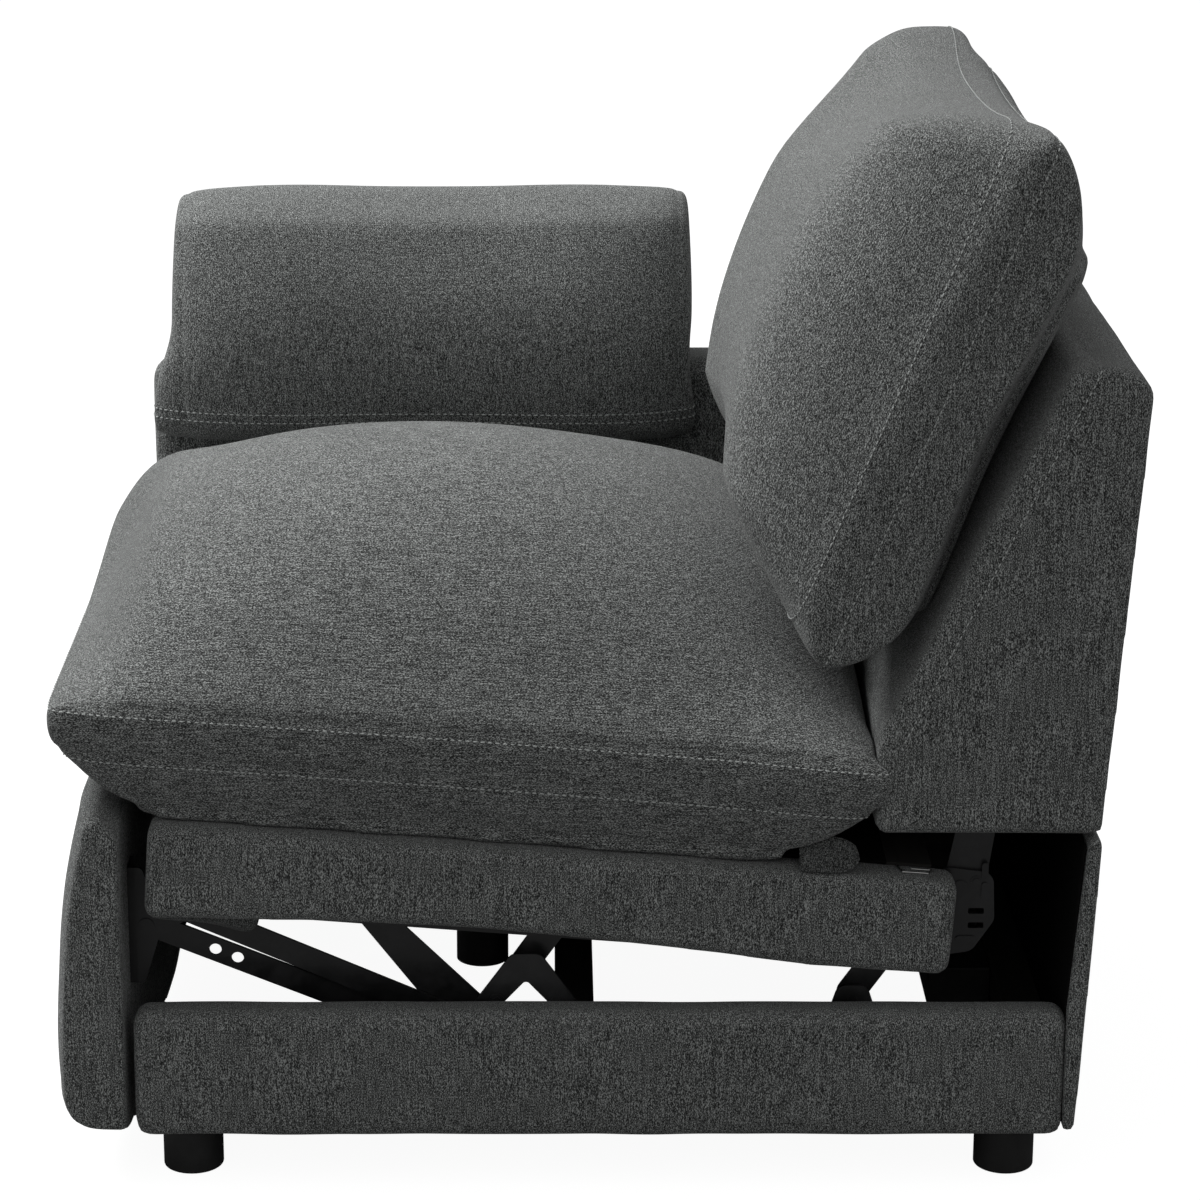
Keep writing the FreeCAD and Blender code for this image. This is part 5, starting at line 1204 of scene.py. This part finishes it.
def bolt_tree():
    """A hexagon head on a washer at every point, with its axis along X."""
    tree = bpy.data.node_groups.new("bolts", "GeometryNodeTree")
    socket_of(tree, "Points", "NodeSocketGeometry")
    socket_of(tree, "Radius", "NodeSocketFloat", 5 * MM)
    socket_of(tree, "Height", "NodeSocketFloat", 4 * MM)
    socket_of(tree, "Seed", "NodeSocketInt", 3)
    socket_of(tree, "Finish", "NodeSocketMaterial")
    tree.interface.new_socket("Bolts", in_out="OUTPUT", socket_type="NodeSocketGeometry")
    given = tree.nodes.new("NodeGroupInput").outputs
    link = tree.links.new
    joined = tree.nodes.new("GeometryNodeJoinGeometry")
    for sides, wide, tall in ((6, 1.0, 1.0), (16, 1.45, 0.4)):
        solid = tree.nodes.new("GeometryNodeMeshCylinder")
        solid.inputs["Vertices"].default_value = sides
        for name, share in (("Radius", wide), ("Height", tall)):
            scaled = tree.nodes.new("ShaderNodeMath")
            scaled.operation = "MULTIPLY"
            scaled.inputs[1].default_value = share
            link(given[name], scaled.inputs[0])
            link(scaled.outputs[0], solid.inputs["Depth" if name == "Height" else "Radius"])
        link(solid.outputs["Mesh"], joined.inputs["Geometry"])
    turned = tree.nodes.new("GeometryNodeTransform")
    turned.inputs["Rotation"].default_value = (0, math.pi / 2, 0)
    spin = tree.nodes.new("FunctionNodeRandomValue")
    spin.data_type = "FLOAT_VECTOR"
    spin.inputs[1].default_value = (math.pi, 0, 0)
    place = tree.nodes.new("GeometryNodeInstanceOnPoints")
    real = tree.nodes.new("GeometryNodeRealizeInstances")
    paint = tree.nodes.new("GeometryNodeSetMaterial")
    result = tree.nodes.new("NodeGroupOutput")
    link(joined.outputs["Geometry"], turned.inputs["Geometry"])
    link(given["Seed"], spin.inputs["Seed"])
    link(given["Points"], place.inputs["Points"])
    link(turned.outputs["Geometry"], place.inputs["Instance"])
    link(spin.outputs["Value"], place.inputs["Rotation"])
    link(place.outputs["Instances"], real.inputs["Geometry"])
    link(real.outputs["Geometry"], paint.inputs["Geometry"])
    link(given["Finish"], paint.inputs["Material"])
    link(paint.outputs["Geometry"], result.inputs["Bolts"])
    return tree


bolts = bolt_tree()


def bolted(name, body, node, spots, **sizes):
    """Bolts where rays from the near side meet a plate, as a plain mesh."""
    plate = surface_of(frame["nodes"][node])
    found = []
    for y, z in spots:
        hit = plate.ray_cast(Vector((CAD_HIGH.x + REACH, y, z)), Vector((-1, 0, 0)))[0]
        if hit is not None:
            found.append(tuple(hit))
    mesh = bpy.data.meshes.new(name)
    mesh.from_pydata(found, [], [])
    piece = new_piece(name, mesh)
    modifier = piece.modifiers.new("bolts", "NODES")
    modifier.node_group = bolts
    set_inputs(modifier, bolts, Finish=finishes["black_steel"], **sizes)
    applied(piece)
    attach(piece, body)
    print(name, len(found), "bolts")
    return piece


BRACKET_BOLTS = ((-0.082, 0.158), (-0.030, 0.158), (0.210, 0.142), (0.262, 0.142))
PLATE_BOLTS = ((0.318, 0.236), (0.344, 0.268))
bolted("bracket_bolts", "base", "base_brackets", BRACKET_BOLTS)
bolted("plate_bolts", "seat", "mechanism_side_plates", PLATE_BOLTS, Radius=3.5 * MM, Height=3 * MM)

# %% [markdown]
# ## Light, floor and camera
#
# The object stands on a plain pale floor under one broad soft lamp above its front on the arm side, with a
# weak even light from all round. The floor glows a little for the camera, so its shadows stay light, and
# sends back less of what bounces, so the sides keep their depth. The camera stands on the armless side, a
# little above, with a long lens.

# %% Stage the object
FLOOR_HALF = 14.0
FLOOR_TONE = (1.0, 1.0, 1.0)
FLOOR_BOUNCE = (0.22, 0.22, 0.22)
FLOOR_GLOW = 0.94
WORLD_TONE = 0.42
KEY_SIZE = 2.2
KEY_POWER = 115
KEY_PLACE = (-0.7, -1.6, 2.95)
CAMERA_PLACE = (3.4555, -0.0346, 1.448)
CAMERA_PITCH = math.radians(16.64)
LENS = 111.0
SHIFT = 50 / 1200
AIM = (0, 0, 0.5)


def pale_floor():
    mesh = bpy.data.meshes.new("floor")
    corners = [(x * FLOOR_HALF, y * FLOOR_HALF, 0) for x, y in ((-1, -1), (1, -1), (1, 1), (-1, 1))]
    mesh.from_pydata(corners, [], [(0, 1, 2, 3)])
    floor = new_piece("floor", mesh)
    material, tree, shader = new_material("pale_floor")
    rays = tree.nodes.new("ShaderNodeLightPath")
    glow = maths(tree, "MULTIPLY", rays.outputs["Is Camera Ray"], FLOOR_GLOW)
    tree.links.new(glow, shader.inputs["Emission Strength"])
    shader.inputs["Emission Color"].default_value = (*FLOOR_TONE, 1)
    shader.inputs["Base Color"].default_value = (*FLOOR_BOUNCE, 1)
    shader.inputs["Roughness"].default_value = 1.0
    shader.inputs["Specular IOR Level"].default_value = 0.0
    mesh.materials.append(material)
    return floor


def studio_light():
    lamp = bpy.data.lights.new("key", "AREA")
    lamp.energy = KEY_POWER
    lamp.size = KEY_SIZE
    key = bpy.data.objects.new("key", lamp)
    key.location = KEY_PLACE
    aim = Vector(AIM) - Vector(KEY_PLACE)
    key.rotation_euler = aim.to_track_quat("-Z", "Y").to_euler()
    scene.collection.objects.link(key)
    world = bpy.data.worlds.new("studio")
    scene.world = world
    world.use_nodes = True
    tree = world.node_tree
    sky = tree.nodes["Background"]
    rays = tree.nodes.new("ShaderNodeLightPath")
    level = tree.nodes.new("ShaderNodeMapRange")
    level.inputs["To Min"].default_value = WORLD_TONE
    level.inputs["To Max"].default_value = 1.0
    tree.links.new(rays.outputs["Is Camera Ray"], level.inputs["Value"])
    tree.links.new(level.outputs["Result"], sky.inputs["Strength"])
    sky.inputs["Color"].default_value = (1, 1, 1, 1)


def photo_camera():
    data = bpy.data.cameras.new("camera")
    data.lens = LENS
    data.shift_x = SHIFT
    camera = bpy.data.objects.new("camera", data)
    camera.location = CAMERA_PLACE
    camera.rotation_euler = (math.pi / 2 - CAMERA_PITCH, 0, math.pi / 2)
    scene.collection.objects.link(camera)
    scene.camera = camera


pale_floor()
studio_light()
photo_camera()
scene.view_settings.view_transform = "Standard"
